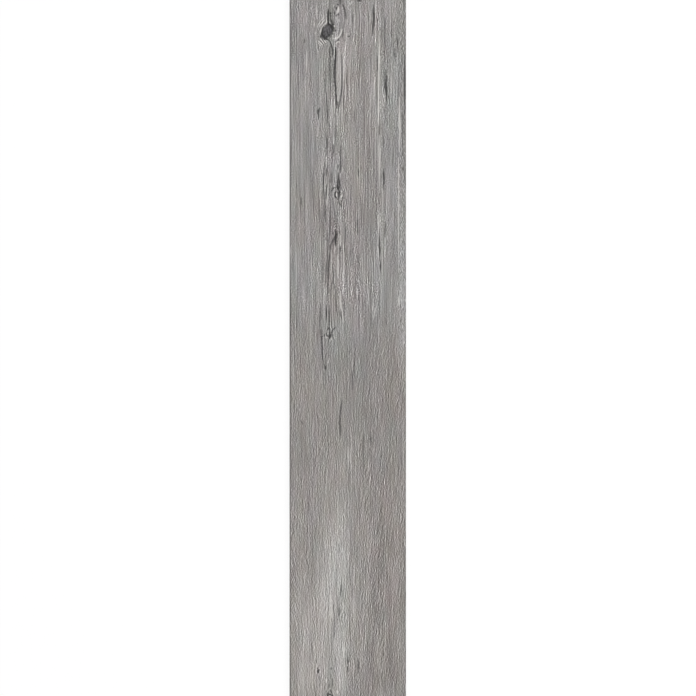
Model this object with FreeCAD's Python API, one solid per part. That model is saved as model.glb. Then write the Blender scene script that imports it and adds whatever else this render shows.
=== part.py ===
"""Wood look porcelain plank tile: one body, pressed, fired and ground square.

+X runs across the plank, +Y along it and +Z out of its printed face. The origin is
the middle of the bedding side, on the plane that the back's ribs stand on. All
sizes are in millimetres.
"""

import FreeCAD
import Part
import math
import os

# Overall size of the plank
plank_length = 1200.0
plank_width = 200.0
plank_thickness = 9.0

# Ground edges
face_bevel = 0.8  # 45 degree bevel round the printed face
back_arris = 0.5  # eased edge round the back

# Keying pattern pressed into the back: a grid of ribs with shallow fields between
border_land = 8.0  # plain land from the plank's edge to the first field
rib_land = 3.0  # flat of a rib, which beds in the adhesive
rib_pitch = 24.0  # rib to rib, before the spacing is evened out over the plank
field_depth = 0.6  # from the ribs' flats to the floor of a field
field_draft = 45.0  # lean of a field's walls from upright, in degrees


def cells_along(span):
    """Even number of fields that fits a span, so that a rib always runs down its middle."""
    pairs = round((span + rib_land) / (2.0 * rib_pitch))
    return 2 * max(1, pairs)


def even_pitch(span, cells):
    """Spacing at which that many fields, with ribs between them, fill the span."""
    return (span + rib_land) / cells


def rectangle(size_x, size_y, height):
    """Closed wire of a rectangle centred on Z, at a height."""
    half_x = size_x / 2.0
    half_y = size_y / 2.0
    corners = [(-half_x, -half_y), (half_x, -half_y), (half_x, half_y), (-half_x, half_y)]
    points = [FreeCAD.Vector(x, y, height) for x, y in corners]
    return Part.makePolygon(points + points[:1])


def field_plug(mouth_x, mouth_y):
    """Drafted plug that leaves one field of the back, from its mouth up to its floor."""
    lean = math.tan(math.radians(field_draft))
    sections = []
    for height in (0.0, field_depth):
        closing = 2.0 * height * lean
        sections.append(rectangle(mouth_x - closing, mouth_y - closing, height))
    return Part.makeLoft(sections, True, True)


def back_fields():
    """Plugs for all the fields of the back, on an even grid."""
    span_x = plank_width - 2.0 * border_land
    span_y = plank_length - 2.0 * border_land
    cells_x = cells_along(span_x)
    cells_y = cells_along(span_y)
    pitch_x = even_pitch(span_x, cells_x)
    pitch_y = even_pitch(span_y, cells_y)
    plug = field_plug(pitch_x - rib_land, pitch_y - rib_land)
    plugs = []
    for column in range(cells_x):
        for row in range(cells_y):
            x = (column - (cells_x - 1) / 2.0) * pitch_x
            y = (row - (cells_y - 1) / 2.0) * pitch_y
            plugs.append(plug.translated(FreeCAD.Vector(x, y, 0.0)))
    return Part.makeCompound(plugs)


def pressed_body():
    """Plain slab of the plank, standing on the bedding plane."""
    corner = FreeCAD.Vector(-plank_width / 2.0, -plank_length / 2.0, 0.0)
    return Part.makeBox(plank_width, plank_length, plank_thickness, corner)


def rim(body, height):
    """The four edges round the body that lie at a height."""
    touching = 1e-6
    return [
        edge
        for edge in body.Edges
        if all(abs(vertex.Z - height) < touching for vertex in edge.Vertexes)
    ]


def plank_tile():
    """The whole tile: slab, ground bevel and arris, and the ribbed back."""
    body = pressed_body()
    body = body.makeChamfer(face_bevel, rim(body, plank_thickness))
    body = body.makeChamfer(back_arris, rim(body, 0.0))
    return body.cut(back_fields())


def main():
    os.makedirs("parts", exist_ok=True)
    tile = plank_tile()
    print("solids", len(tile.Solids), "valid", tile.isValid(), "faces", len(tile.Faces))
    print("volume in cm3", round(tile.Volume / 1000.0, 2))
    tile.Solids[0].exportStep("parts/plank_tile.step")


main()
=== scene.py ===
"""Wood look porcelain plank tile: the fired plank with its printed, brushed face, on a studio floor.

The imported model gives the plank's box, and its printed face is a height field over that box.
A place on the face is given in millimetres: across from its left edge, and down from its top end.
"""

import math
from collections import namedtuple

import bpy
import numpy as np
from bpy.props import FloatProperty, FloatVectorProperty, IntProperty, PointerProperty
from bpy.types import Operator, Panel, PropertyGroup
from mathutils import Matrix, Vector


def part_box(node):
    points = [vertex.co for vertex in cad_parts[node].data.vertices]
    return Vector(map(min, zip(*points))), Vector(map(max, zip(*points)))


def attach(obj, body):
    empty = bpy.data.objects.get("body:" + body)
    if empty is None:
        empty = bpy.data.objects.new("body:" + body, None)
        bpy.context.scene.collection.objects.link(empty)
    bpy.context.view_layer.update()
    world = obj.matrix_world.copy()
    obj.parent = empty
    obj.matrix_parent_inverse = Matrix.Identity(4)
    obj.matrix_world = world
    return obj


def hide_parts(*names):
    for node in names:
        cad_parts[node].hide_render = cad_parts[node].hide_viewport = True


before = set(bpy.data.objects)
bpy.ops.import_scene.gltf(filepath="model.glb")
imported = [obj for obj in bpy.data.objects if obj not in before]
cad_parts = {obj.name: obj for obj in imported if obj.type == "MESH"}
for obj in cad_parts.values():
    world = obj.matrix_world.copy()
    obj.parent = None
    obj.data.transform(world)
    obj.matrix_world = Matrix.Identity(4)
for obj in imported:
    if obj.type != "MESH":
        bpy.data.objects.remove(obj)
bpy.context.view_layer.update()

bl_info = {
    "name": "Wood look plank tile",
    "version": (1, 0, 0),
    "blender": (4, 5, 0),
    "location": "3D View > Sidebar > Plank tile",
    "description": "Builds a fired porcelain plank with a brushed wood look face",
    "category": "Add Mesh",
}

PLANK_LOW, PLANK_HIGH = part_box("plank_tile")
MM = 0.001
PLANK_WIDTH = (PLANK_HIGH[0] - PLANK_LOW[0]) / MM
PLANK_LENGTH = (PLANK_HIGH[1] - PLANK_LOW[1]) / MM
PLANK_THICKNESS = (PLANK_HIGH[2] - PLANK_LOW[2]) / MM

# Marks of the printed wood. A stroke has a strength from 0 to 1 and a line of points, each one
# being across, down and half width in millimetres. A knot has its middle, its two half sizes,
# how far it leans across for each step down, and how far it pushes the fibres aside.
Stroke = namedtuple("Stroke", "name strength points")
Knot = namedtuple("Knot", "name across down half_width half_length lean push")

# The marks were placed on a view that shows the plank from 2.5 mm below its top end over 1195 mm,
# with that height counted as the plank's whole length. face_pattern turns places back. They were
# placed, and then moved and weighed against measured contrasts.
MARKS_TOP = 2.5
MARKS_LENGTH = 1195.0

KNOTS = (
    Knot("large knot", 64.0, 55.3, 9.2, 12.9, 0.30, 1.0),
    Knot("oval beside the large knot", 88.0, 36.0, 8.0, 32.0, 0.0, 0.45),
    Knot("second knot", 85.2, 335.5, 5.6, 7.5, 0.0, 1.0),
    Knot("third knot", 68.8, 573.5, 4.2, 8.0, 0.0, 1.0),
    Knot("knot at the bottom end", 68.8, 1199.0, 5.0, 6.0, 0.0, 0.6),
    Knot("bud on the left", 49.5, 192.0, 2.2, 4.0, 0.0, 0.9),
    Knot("bud low on the left", 49.8, 1157.0, 2.4, 4.2, 0.0, 0.9),
)

CRACKS = (
    Stroke("above the large knot", 1.00, (
        (67.0, 14.5, 0.7), (66.6, 19, 1.8), (66.1, 24, 2.9), (66.3, 28, 2.3), (66.9, 33, 1.8),
        (66.5, 37, 2.4), (66.8, 42.5, 2.4),
    )),
    Stroke("beside that crack", 0.50, (
        (71.6, 32.2, 1.0), (71.8, 34, 2.2), (72.5, 38, 3.8), (73.0, 42.6, 3.8),
    )),
    Stroke("dot over that crack", 0.90, ((70.3, 21.2, 0.9), (70.8, 22.8, 2.0), (71.2, 24.4, 0.9))),
    Stroke("second dot over that crack", 0.76, ((71.3, 25.9, 0.8), (71.5, 27.4, 1.8), (71.6, 28.9, 0.8))),
    Stroke("left rim of the large knot", 0.98, (
        (59.0, 45.6, 0.9), (57.2, 48.6, 1.7), (56.2, 53.4, 2.0), (55.2, 57.4, 2.4),
    )),
    Stroke("lower left of the large knot", 0.96, (
        (55.4, 57.6, 2.2), (56.2, 60.4, 2.9), (58.6, 63.4, 2.5), (60.6, 66.2, 1.8), (63.6, 67.8, 1.5),
        (66.0, 68.4, 1.9),
    )),
    Stroke("upper right of the large knot", 0.94, (
        (72.8, 42, 1.4), (73.4, 45, 2.3), (74.1, 48.4, 3.1), (73.5, 51.4, 2.2), (73.0, 55, 1.4),
    )),
    Stroke("bar in the large knot", 0.90, ((70.5, 41.6, 1.4), (70.7, 45, 1.9), (70.9, 48.4, 1.2))),
    Stroke("rim over the large knot", 0.80, (
        (58.4, 45.6, 0.9), (61.2, 43.4, 1.4), (65.0, 42.6, 1.4), (69.8, 42.2, 1.8),
    )),
    Stroke("lower right of the large knot", 0.26, (
        (73.4, 55.6, 0.9), (72.4, 58.6, 1.5), (71.2, 61.6, 1.9), (69.4, 64.6, 1.6), (67.4, 67, 1.4),
    )),
    Stroke("pit low in the large knot", 0.88, ((65.8, 58.6, 0.9), (67.2, 60.2, 2.2), (68.8, 61, 1.2))),
    Stroke("pit in the large knot", 0.80, ((65.0, 53.4, 0.8), (65.4, 55.8, 1.9), (65.2, 58, 0.9))),
    Stroke("pit at the knot's foot", 0.85, ((61.4, 63, 1.0), (63.6, 63.2, 1.9), (65.4, 62.6, 0.9))),
    Stroke("fringe of the large knot 1", 0.88, ((75.0, 42.2, 0.9), (76.2, 42.1, 1.8), (77.6, 41.9, 0.8))),
    Stroke("fringe of the large knot 2", 0.86, ((77.4, 51.4, 0.8), (78.7, 52.5, 1.7), (79.6, 53.8, 0.8))),
    Stroke("fringe of the large knot 3", 0.55, ((75.0, 52.4, 1.2), (76.0, 53.6, 1.2), (77.4, 53.8, 0.8))),
    Stroke("fringe of the large knot 4", 0.64, ((73.2, 59.2, 1.3), (75.0, 59.0, 1.3), (77.0, 57.8, 0.8))),
    Stroke("fringe of the large knot 5", 0.42, ((75.4, 49.0, 0.9), (76.8, 49.4, 1.2), (78.4, 50.4, 0.8))),
    Stroke("fringe of the large knot 6", 0.46, ((75.0, 64.0, 0.8), (76.4, 62.0, 1.3), (77.8, 60.6, 0.8))),
    Stroke("speck left of the large knot", 0.88, ((52.6, 61.2, 0.8), (53.0, 63, 1.7), (53.0, 64.8, 0.8))),
    Stroke("speck between the foot's fibres", 0.82, (
        (59.2, 66.8, 0.7), (60.0, 67.9, 1.6), (60.6, 69, 0.8),
    )),
    Stroke("speck right of it", 0.95, ((77.7, 19.6, 0.8), (77.4, 22.6, 1.6), (77.2, 25.4, 0.8))),
    Stroke("speck in the oval", 0.95, ((80.9, 11.4, 0.8), (80.6, 14.4, 2.0), (80.2, 17.0, 0.9))),
    Stroke("spot at the oval's top", 1.00, ((82.2, 8.0, 1.0), (83.7, 7.7, 2.1), (85.2, 7.0, 1.0))),
    Stroke("dab on the top edge", 0.92, ((116.4, 1.4, 1.2), (119.4, 0.6, 2.6), (122.6, 1.2, 1.2))),
    Stroke("left of the oval's top", 0.42, ((77.0, 9.4, 0.7), (77.4, 12.4, 1.4), (77.2, 14.6, 0.7))),
    Stroke("below the large knot", 0.84, (
        (66.8, 68.6, 1.0), (69.6, 72.6, 1.4), (71.4, 77.2, 1.9), (72.6, 81.8, 2.0), (73.8, 86.6, 2.4),
        (74.2, 91, 2.0), (73.8, 99, 0.7),
    )),
    Stroke("long crack", 0.98, (
        (78.8, 82, 1.5), (79.0, 92, 2.0), (78.4, 105, 2.4), (77.6, 120, 2.5), (77.8, 136, 2.2),
        (78.6, 150, 2.0), (79.4, 163, 1.8), (80.6, 175, 1.8), (81.6, 186, 0.9),
    )),
    Stroke("right side of the tongue", 0.74, (
        (89.5, 92, 0.7), (90.3, 112, 1.5), (89.9, 134, 1.8), (89.3, 150, 2.2), (88.6, 160, 2.2),
        (87.4, 170, 1.9), (86.2, 180, 2.0), (84.6, 187, 1.0),
    )),
    Stroke("left of the long crack", 0.26, (
        (74.9, 114, 0.6), (74.6, 130, 1.5), (74.2, 140, 1.2), (73.8, 150, 0.5),
    )),
    Stroke("at the right of the top", 0.84, (
        (144.0, 8, 0.7), (143.5, 18, 1.9), (144.3, 26, 2.5), (144.5, 33, 2.5), (143.5, 42, 2.1),
        (142.9, 52, 1.8), (142.7, 63, 0.5),
    )),
    Stroke("long spot on the right", 0.88, (
        (165.0, 118, 0.6), (166.0, 132, 1.6), (165.1, 143, 2.6), (164.9, 151, 3.2), (165.7, 158, 2.1),
        (166.6, 166, 1.3), (166.2, 176, 0.5),
    )),
    Stroke("into the second knot", 0.72, (
        (83.9, 297, 0.8), (83.9, 302, 1.8), (83.9, 306, 2.4), (84.0, 309.6, 2.6),
    )),
    Stroke("second knot, left wall", 0.96, (
        (83.4, 309, 1.2), (82.7, 312, 1.6), (82.5, 317, 1.6), (81.8, 321.4, 2.0), (82.2, 324.8, 2.0),
        (84.0, 327.4, 1.5), (85.4, 329.6, 1.4),
    )),
    Stroke("second knot, right wall", 0.90, (
        (84.8, 309, 1.1), (85.6, 312, 1.5), (85.6, 318, 1.6), (84.9, 323, 1.6), (84.4, 326.4, 1.2),
    )),
    Stroke("second knot, middle", 0.88, (
        (85.5, 329.4, 1.6), (85.4, 332.4, 2.0), (84.7, 336, 3.8), (84.6, 339.4, 2.8),
        (84.3, 342.4, 1.4),
    )),
    Stroke("second knot, small blot", 0.72, ((86.8, 334.4, 0.8), (87.7, 334.9, 1.4), (88.2, 335.4, 0.7))),
    Stroke("right, with specks", 0.98, (
        (161.6, 289, 0.6), (161.2, 298, 1.6), (162.0, 306, 1.9), (162.2, 311, 1.7), (161.4, 318, 1.5),
        (161.4, 327, 0.5),
    )),
    Stroke("dark fork", 1.00, (
        (79.0, 395, 0.8), (79.0, 401, 1.3), (79.2, 406.4, 1.9), (78.6, 410.6, 2.2), (78.6, 415.6, 2.2),
        (78.8, 420, 2.0), (78.9, 424.4, 0.8),
    )),
    Stroke("fork, right prong", 0.60, (
        (82.0, 397, 0.8), (82.2, 402, 1.5), (82.0, 407, 1.5), (81.2, 411, 0.8),
    )),
    Stroke("fork, left spot", 0.56, ((74.4, 399.4, 0.8), (74.6, 402.4, 1.7), (74.6, 405.2, 0.8))),
    Stroke("right, below the specks", 0.84, (
        (154.1, 407, 1.0), (154.2, 418, 1.6), (154.0, 425, 2.1), (155.0, 431, 2.2), (154.4, 440, 1.3),
        (154.8, 451, 0.5),
    )),
    Stroke("right, last of the row", 1.0, ((156.3, 450, 0.8), (156.0, 459, 1.7), (156.0, 470, 0.7))),
    Stroke("long line from the fork", 0.72, (
        (78.0, 408.8, 1.6), (75.6, 412.4, 2.6), (73.2, 416.4, 2.0), (71.2, 422, 1.7), (70.2, 428, 1.7),
        (68.8, 438, 1.7), (67.6, 449, 1.8), (66.8, 462, 1.9), (66.2, 478, 2.0), (65.6, 492, 1.8),
        (65.0, 505, 1.5), (64.9, 519, 0.7),
    )),
    Stroke("third knot, upper part", 0.90, (
        (69.0, 564.0, 0.9), (69.1, 568.6, 1.5), (68.9, 571.6, 1.6), (69.0, 574.6, 2.2),
        (69.2, 577.4, 3.1), (69.2, 580.6, 2.4), (69.0, 583.8, 1.2),
    )),
    Stroke("third knot, roof", 0.92, (
        (64.8, 569.6, 0.9), (66.2, 567.0, 1.7), (68.0, 565.4, 2.0), (69.6, 566.8, 1.4),
    )),
    Stroke("third knot, left hook", 0.84, (
        (64.8, 571.2, 0.7), (63.4, 575, 1.4), (64.0, 578.6, 1.4), (66.2, 580.0, 1.1),
    )),
    Stroke("beside the third knot", 0.80, ((59.8, 575.6, 0.8), (59.9, 578.2, 1.7), (59.6, 581, 0.8))),
    Stroke("over the lower crack", 0.84, ((52.8, 580.4, 0.9), (55.0, 579.8, 1.4), (57.2, 580.6, 0.8))),
    Stroke("below the third knot", 0.88, (
        (54.9, 580, 1.3), (55.0, 586, 1.5), (55.4, 594, 1.6), (56.0, 602, 1.7), (56.0, 611, 1.5),
        (57.0, 620.5, 1.1), (58.8, 626, 0.9), (60.6, 630, 1.1), (61.9, 634, 2.2), (62.2, 638.6, 0.8),
    )),
    Stroke("in the middle of the lower half", 0.56, (
        (89.4, 688, 0.8), (89.5, 693, 1.5), (88.0, 701, 1.8), (87.3, 708, 2.0), (86.8, 718, 1.8),
        (86.6, 725, 2.0), (84.8, 729.6, 2.4), (86.6, 734, 2.2), (87.1, 742, 2.4), (87.3, 749, 1.6),
        (87.4, 758, 0.8),
    )),
    Stroke("pupil of the eye", 0.50, (
        (85.6, 1047, 0.9), (85.8, 1051, 1.8), (85.7, 1055.6, 3.0), (85.2, 1059.6, 2.0),
        (84.6, 1062.4, 0.9),
    )),
    Stroke("below the pupil", 0.70, ((82.6, 1066.4, 0.7), (82.4, 1068, 1.5), (82.4, 1069.6, 0.7))),
    Stroke("bud low on the left", 0.84, (
        (50.9, 1154.8, 1.4), (49.9, 1156.2, 2.7), (49.4, 1158, 3.1), (49.5, 1160, 1.8),
        (49.8, 1161.2, 0.8),
    )),
    Stroke("spot low in the middle", 0.74, ((99.4, 1149, 0.8), (100.2, 1154, 2.0), (101.2, 1159, 1.2))),
    Stroke("bud on the left", 0.80, (
        (51.6, 186.4, 1.3), (50.3, 189.4, 2.8), (49.2, 192.6, 3.4), (49.4, 196, 2.2), (49.8, 201, 1.3),
        (49.6, 207, 0.8),
    )),
    Stroke("end knot, left lip", 0.70, ((66.2, 1194.4, 1.1), (65.6, 1196.4, 2.1), (65.4, 1203, 2.4))),
    Stroke("end knot, right lip", 0.90, (
        (66.0, 1196.4, 1.2), (68.2, 1197.0, 1.6), (70.6, 1198.0, 1.9), (73.8, 1199.6, 2.0),
    )),
    Stroke("end knot, top", 0.62, (
        (69.5, 1187.6, 0.8), (69.9, 1190.6, 1.9), (71.2, 1193.4, 1.6), (72.4, 1194.6, 1.2),
    )),
)

GRAIN_LINES = (
    Stroke("down the left of the tongue", 0.70, (
        (69.4, 79, 0.7), (69.4, 92, 1.4), (68.8, 112, 1.4), (68.4, 140, 0.6),
    )),
    Stroke("left line 1", 0.46, ((61.3, 116, 0.6), (61.6, 138, 1.5), (61.8, 163, 0.6))),
    Stroke("left line 2", 0.84, (
        (63.2, 158, 0.6), (63.6, 174, 1.6), (64.4, 186, 1.1), (65.0, 197, 1.5), (65.2, 216, 0.6),
    )),
    Stroke("wedge", 0.34, ((79.0, 215, 0.6), (79.2, 228, 1.4), (79.2, 234, 2.4), (78.8, 241, 0.6))),
    Stroke("left line 3", 0.60, ((62.6, 222, 0.6), (63.2, 240, 1.6), (64.0, 256, 2.0), (63.4, 271, 0.6))),
    Stroke("middle line 1", 0.78, ((75.0, 246, 0.6), (75.8, 258, 2.0), (76.0, 269, 0.5))),
    Stroke("right of the second knot 1", 0.66, (
        (87.6, 250, 0.6), (87.2, 260, 1.6), (87.4, 268, 1.0), (87.2, 280, 1.6), (88.0, 292, 1.9),
        (87.6, 300, 0.6),
    )),
    Stroke("left line 4", 0.88, (
        (60.2, 280, 0.6), (59.6, 292, 1.4), (58.4, 303, 2.0), (58.2, 316, 1.6), (58.4, 334, 0.6),
    )),
    Stroke("left line 5", 0.72, ((65.4, 284, 0.6), (63.4, 296, 1.6), (63.0, 306, 0.6))),
    Stroke("left line 6", 0.92, ((63.4, 318, 0.6), (62.8, 334, 1.8), (62.6, 346, 0.6))),
    Stroke("left line 7", 0.52, ((59.0, 334, 0.7), (59.8, 350, 1.4), (60.8, 368, 1.4), (62.0, 388, 0.7))),
    Stroke("left line 8", 0.50, ((62.5, 346, 0.7), (62.3, 362, 1.4), (62.3, 388, 0.7))),
    Stroke("outer line from the fork", 0.62, (
        (68.4, 402, 1.2), (67.2, 414, 1.7), (65.9, 430, 1.6), (64.6, 448, 1.6), (63.2, 464, 1.6),
        (61.9, 480, 1.5), (61.0, 496, 0.7),
    )),
    Stroke("hood over the second knot", 0.90, (
        (71.2, 331.0, 0.9), (72.6, 328.2, 1.6), (74.4, 325.6, 1.8), (76.8, 323.6, 1.7),
        (79.6, 323.0, 0.9),
    )),
    Stroke("second knot, left arc", 0.98, (
        (79.4, 330.2, 1.2), (78.2, 333.4, 1.8), (77.8, 336.6, 1.6), (78.6, 339.4, 2.0),
        (80.2, 341.4, 1.6), (81.2, 341.2, 0.8),
    )),
    Stroke("second knot, right arc", 0.24, (
        (89.0, 326.2, 0.8), (91.6, 329.6, 1.3), (92.9, 334.8, 1.2), (92.6, 337.6, 0.7),
    )),
    Stroke("second knot, lower right arc", 1.00, (
        (91.8, 339.4, 0.9), (91.1, 340.8, 1.8), (89.8, 342.4, 1.1),
    )),
    Stroke("over the second knot 1", 0.95, ((83.5, 283, 0.7), (83.6, 287.4, 1.6), (83.7, 291, 0.8))),
    Stroke("over the second knot 2", 0.84, (
        (87.5, 284.6, 0.8), (87.8, 290, 2.2), (87.4, 295, 1.2), (86.8, 298, 0.6),
    )),
    Stroke("right of the second knot 3", 0.86, (
        (94.3, 325.8, 0.6), (94.6, 328, 1.4), (94.4, 330.2, 0.6),
    )),
    Stroke("right of the second knot 4", 0.46, (
        (88.6, 327.2, 0.7), (90.2, 326.4, 1.2), (91.8, 327.4, 0.7),
    )),
    Stroke("tail of the second knot", 0.66, (
        (84.4, 342.4, 1.2), (84.2, 346, 1.4), (84.8, 349.4, 1.9), (86.0, 351.4, 1.6),
        (87.6, 352.6, 1.2), (89.0, 355, 2.0), (89.4, 358.4, 1.0),
    )),
    Stroke("dot right of the second knot", 0.26, (
        (106.0, 318.4, 0.6), (106.4, 320.6, 1.5), (106.2, 322.8, 0.6),
    )),
    Stroke("mark on the third strip", 0.76, ((118.6, 288, 0.6), (118.4, 295, 1.6), (118.2, 306, 0.6))),
    Stroke("brown mark on the left", 0.54, ((20.4, 340, 0.8), (20.6, 348, 1.9), (20.6, 354, 0.8))),
    Stroke("bud on the left, hair", 0.50, ((46.2, 188.8, 0.7), (47.6, 190.6, 1.4), (48.6, 192.4, 0.8))),
    Stroke("down to the fork 1", 0.58, (
        (69.8, 362, 0.6), (69.6, 380, 1.4), (69.4, 392, 1.9), (68.2, 404, 1.7), (66.8, 418, 1.5),
        (66.0, 432, 1.2), (64.4, 448, 1.5), (62.6, 462, 1.5), (61.6, 484, 0.7),
    )),
    Stroke("soft line left of the fork", 0.32, (
        (57.4, 430, 0.8), (57.0, 452, 2.4), (56.8, 474, 2.0), (56.4, 496, 0.8),
    )),
    Stroke("short line right of the fork", 0.74, (
        (96.3, 388, 0.7), (96.1, 396, 1.5), (96.0, 408, 1.4), (95.8, 420, 0.7),
    )),
    Stroke("right below the fork", 0.82, ((87.4, 423.4, 0.7), (87.5, 430, 1.6), (87.4, 436.4, 0.7))),
    Stroke("speck line 1", 0.46, ((94.0, 426, 0.6), (94.2, 431, 1.3), (94.4, 438, 0.6))),
    Stroke("speck line 2", 0.18, ((98.2, 424, 0.6), (98.0, 433, 1.3), (98.0, 441, 0.6))),
    Stroke("speck line 3", 0.62, ((105.0, 428, 0.6), (104.8, 436, 1.3), (104.8, 443, 0.6))),
    Stroke("strip line 1", 0.34, ((113.2, 374, 0.6), (113.0, 392, 1.3), (113.0, 406, 0.6))),
    Stroke("strip line 2", 0.88, ((117.0, 366, 0.6), (116.8, 386, 1.5), (117.2, 406, 0.6))),
    Stroke("strip line 3", 0.58, ((118.4, 436, 0.6), (118.4, 452, 1.4), (118.2, 468, 0.6))),
    Stroke("right soft line", 0.66, ((165.0, 380, 0.6), (164.8, 395, 1.9), (164.6, 410, 0.7))),
    Stroke("stem of the arch", 0.54, ((75.4, 462, 0.6), (75.6, 474, 1.8), (75.0, 484, 1.9))),
    Stroke("left leg of the arch", 0.56, (
        (74.2, 484, 1.6), (71.8, 491, 1.5), (70.5, 504, 1.4), (70.1, 524, 0.6),
    )),
    Stroke("right leg of the arch", 0.62, (
        (74.8, 484, 1.6), (77.2, 492, 1.5), (78.8, 504, 1.6), (79.6, 520, 1.4), (80.6, 534, 1.2),
        (82.6, 548, 0.6),
    )),
    Stroke("right of the pale streak", 0.42, (
        (90.4, 503, 0.6), (91.2, 518, 1.4), (92.6, 532, 1.6), (93.4, 548, 0.6),
    )),
    Stroke("below the pale streak", 0.58, ((86.2, 536, 0.7), (87.6, 543, 1.6), (90.2, 551, 0.9))),
    Stroke("line over the third knot 1", 0.60, (
        (53.2, 520, 0.6), (53.0, 540, 1.6), (52.0, 552, 1.4), (51.6, 569, 0.6),
    )),
    Stroke("line over the third knot 2", 0.98, ((63.3, 526, 0.6), (63.5, 540, 1.7), (63.5, 556, 0.6))),
    Stroke("line over the third knot 3", 0.95, ((68.8, 524, 0.6), (68.8, 546, 1.4), (69.0, 565, 1.0))),
    Stroke("third knot, right arm", 0.84, (
        (79.6, 563.6, 0.8), (77.6, 565.4, 1.6), (74.2, 569.0, 1.5), (72.2, 573.2, 1.6),
    )),
    Stroke("third knot, lower arm", 0.62, (
        (72.0, 573.6, 1.2), (73.2, 578, 1.6), (75.2, 582.4, 1.7), (76.4, 586.6, 0.8),
    )),
    Stroke("right of the third knot", 0.34, (
        (81.7, 569.5, 0.6), (85.3, 577, 1.5), (86.4, 592, 1.5), (84.0, 601, 0.7),
    )),
    Stroke("far right of the third knot", 0.34, (
        (103.0, 600, 0.7), (103.1, 607, 1.6), (102.9, 614, 0.7),
    )),
    Stroke("right strip line 1", 0.60, ((141.2, 540, 0.6), (141.2, 556, 1.4), (141.4, 576, 0.6))),
    Stroke("right strip line 2", 0.50, ((165.0, 548, 0.6), (164.8, 556, 1.3), (165.2, 564, 0.6))),
    Stroke("under the third knot", 0.34, ((58.2, 640, 0.8), (58.4, 652, 1.9), (59.0, 668, 0.7))),
    Stroke("middle line 2", 0.60, ((108.6, 636, 0.6), (108.4, 654, 1.4), (108.4, 674, 0.8))),
    Stroke("middle line 3", 0.20, ((120.0, 649, 0.6), (120.2, 655, 1.3), (120.2, 662, 0.6))),
    Stroke("left mark of the lower half", 0.78, ((18.8, 722, 0.6), (21.2, 728, 1.4), (22.8, 732, 0.8))),
    Stroke("right strip line 3", 0.96, ((139.4, 744, 0.6), (139.2, 757, 1.4), (138.8, 770, 0.6))),
    Stroke("strip in the lower half", 0.46, (
        (126.5, 745, 0.8), (126.7, 768, 2.0), (127.1, 796, 2.0), (126.7, 822, 0.8),
    )),
    Stroke("over the eye", 0.85, ((87.9, 1005, 0.6), (88.0, 1016, 1.8), (87.9, 1030, 0.7))),
    Stroke("down from the eye", 0.42, (
        (75.2, 1040, 0.8), (74.8, 1047, 1.6), (75.8, 1055, 1.7), (77.0, 1063, 1.7), (77.2, 1072, 1.9),
        (76.6, 1084, 2.4), (76.6, 1096, 2.2), (76.4, 1104, 0.8),
    )),
    Stroke("right of the eye", 0.50, ((108.0, 1004, 0.6), (108.4, 1014, 1.5), (108.2, 1026, 0.6))),
    Stroke("low line", 0.80, ((118.2, 1134, 0.6), (118.0, 1150, 1.8), (118.2, 1161, 0.7))),
    Stroke("low spot", 0.92, ((99.8, 1132, 0.6), (100.0, 1139, 1.9), (100.2, 1146, 0.6))),
    Stroke("low bud, hair", 0.90, ((47.0, 1153.2, 0.7), (48.1, 1152.6, 1.5), (49.0, 1151.4, 0.8))),
    Stroke("low bud, tail", 0.42, (
        (50.6, 1162, 0.8), (51.4, 1168, 1.5), (51.4, 1178, 1.5), (51.2, 1187, 0.7),
    )),
    Stroke("over the low bud 1", 0.44, ((46.0, 1136.4, 0.8), (46.1, 1140.6, 1.6), (46.0, 1145, 0.8))),
    Stroke("over the low bud 2", 0.34, ((56.0, 1130.4, 0.8), (56.2, 1134.4, 1.6), (55.8, 1138.6, 0.8))),
    Stroke("low dot 1", 0.62, ((71.8, 1150.6, 0.8), (72.0, 1152.6, 1.7), (71.8, 1154.8, 0.8))),
    Stroke("low dot 2", 0.50, ((76.8, 1155, 0.7), (77.0, 1157.2, 1.6), (76.8, 1159.4, 0.7))),
    Stroke("low dot 3", 0.44, ((70.2, 1162.6, 0.7), (70.4, 1164.4, 1.4), (70.2, 1166, 0.7))),
    Stroke("low dot 4", 0.34, ((44.2, 1171.4, 0.7), (44.4, 1173.6, 1.5), (44.2, 1175.6, 0.7))),
    Stroke("over the end knot 1", 0.56, ((68.2, 1178, 0.8), (68.2, 1182.4, 1.6), (68.2, 1187, 0.8))),
    Stroke("over the end knot 2", 0.66, ((73.6, 1170, 0.8), (73.5, 1178, 1.6), (73.4, 1186, 0.8))),
    Stroke("oval, top", 0.68, (
        (90.0, 6.6, 1.0), (91.4, 8.6, 1.9), (93.2, 12, 1.9), (95.0, 17, 2.0), (96.0, 22.4, 2.2),
        (96.6, 27, 1.8), (97.0, 34, 0.8),
    )),
    Stroke("oval, outside its foot", 0.62, (
        (93.0, 48, 0.7), (91.6, 54, 1.3), (89.6, 60, 1.7), (86.8, 65, 1.6), (84.2, 68.6, 0.9),
    )),
    Stroke("oval, lower lip", 0.56, (
        (75.2, 71.2, 0.8), (79.0, 72.0, 1.4), (82.0, 69.8, 1.5), (85.4, 69.0, 1.4), (87.2, 70.6, 0.7),
    )),
    Stroke("oval, inner line", 0.76, (
        (79.4, 27.2, 0.7), (81.2, 26.4, 1.6), (82.8, 25.0, 1.2), (84.6, 24.0, 1.3), (86.2, 24.6, 0.7),
    )),
    Stroke("right of the oval", 0.50, ((108.2, 24, 0.6), (108.4, 31, 1.5), (108.0, 38, 0.6))),
    Stroke("dot right of the large knot", 0.64, (
        (99.6, 62.6, 1.2), (101.8, 62.7, 2.4), (104.0, 62.8, 1.2),
    )),
    Stroke("far right spot", 0.80, (
        (184.6, 66, 0.8), (185.6, 73, 2.0), (185.4, 80, 1.1), (185.2, 92, 0.6),
    )),
    Stroke("far right line", 0.82, ((180.4, 82, 0.6), (180.2, 94, 1.5), (180.4, 102, 0.6))),
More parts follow.
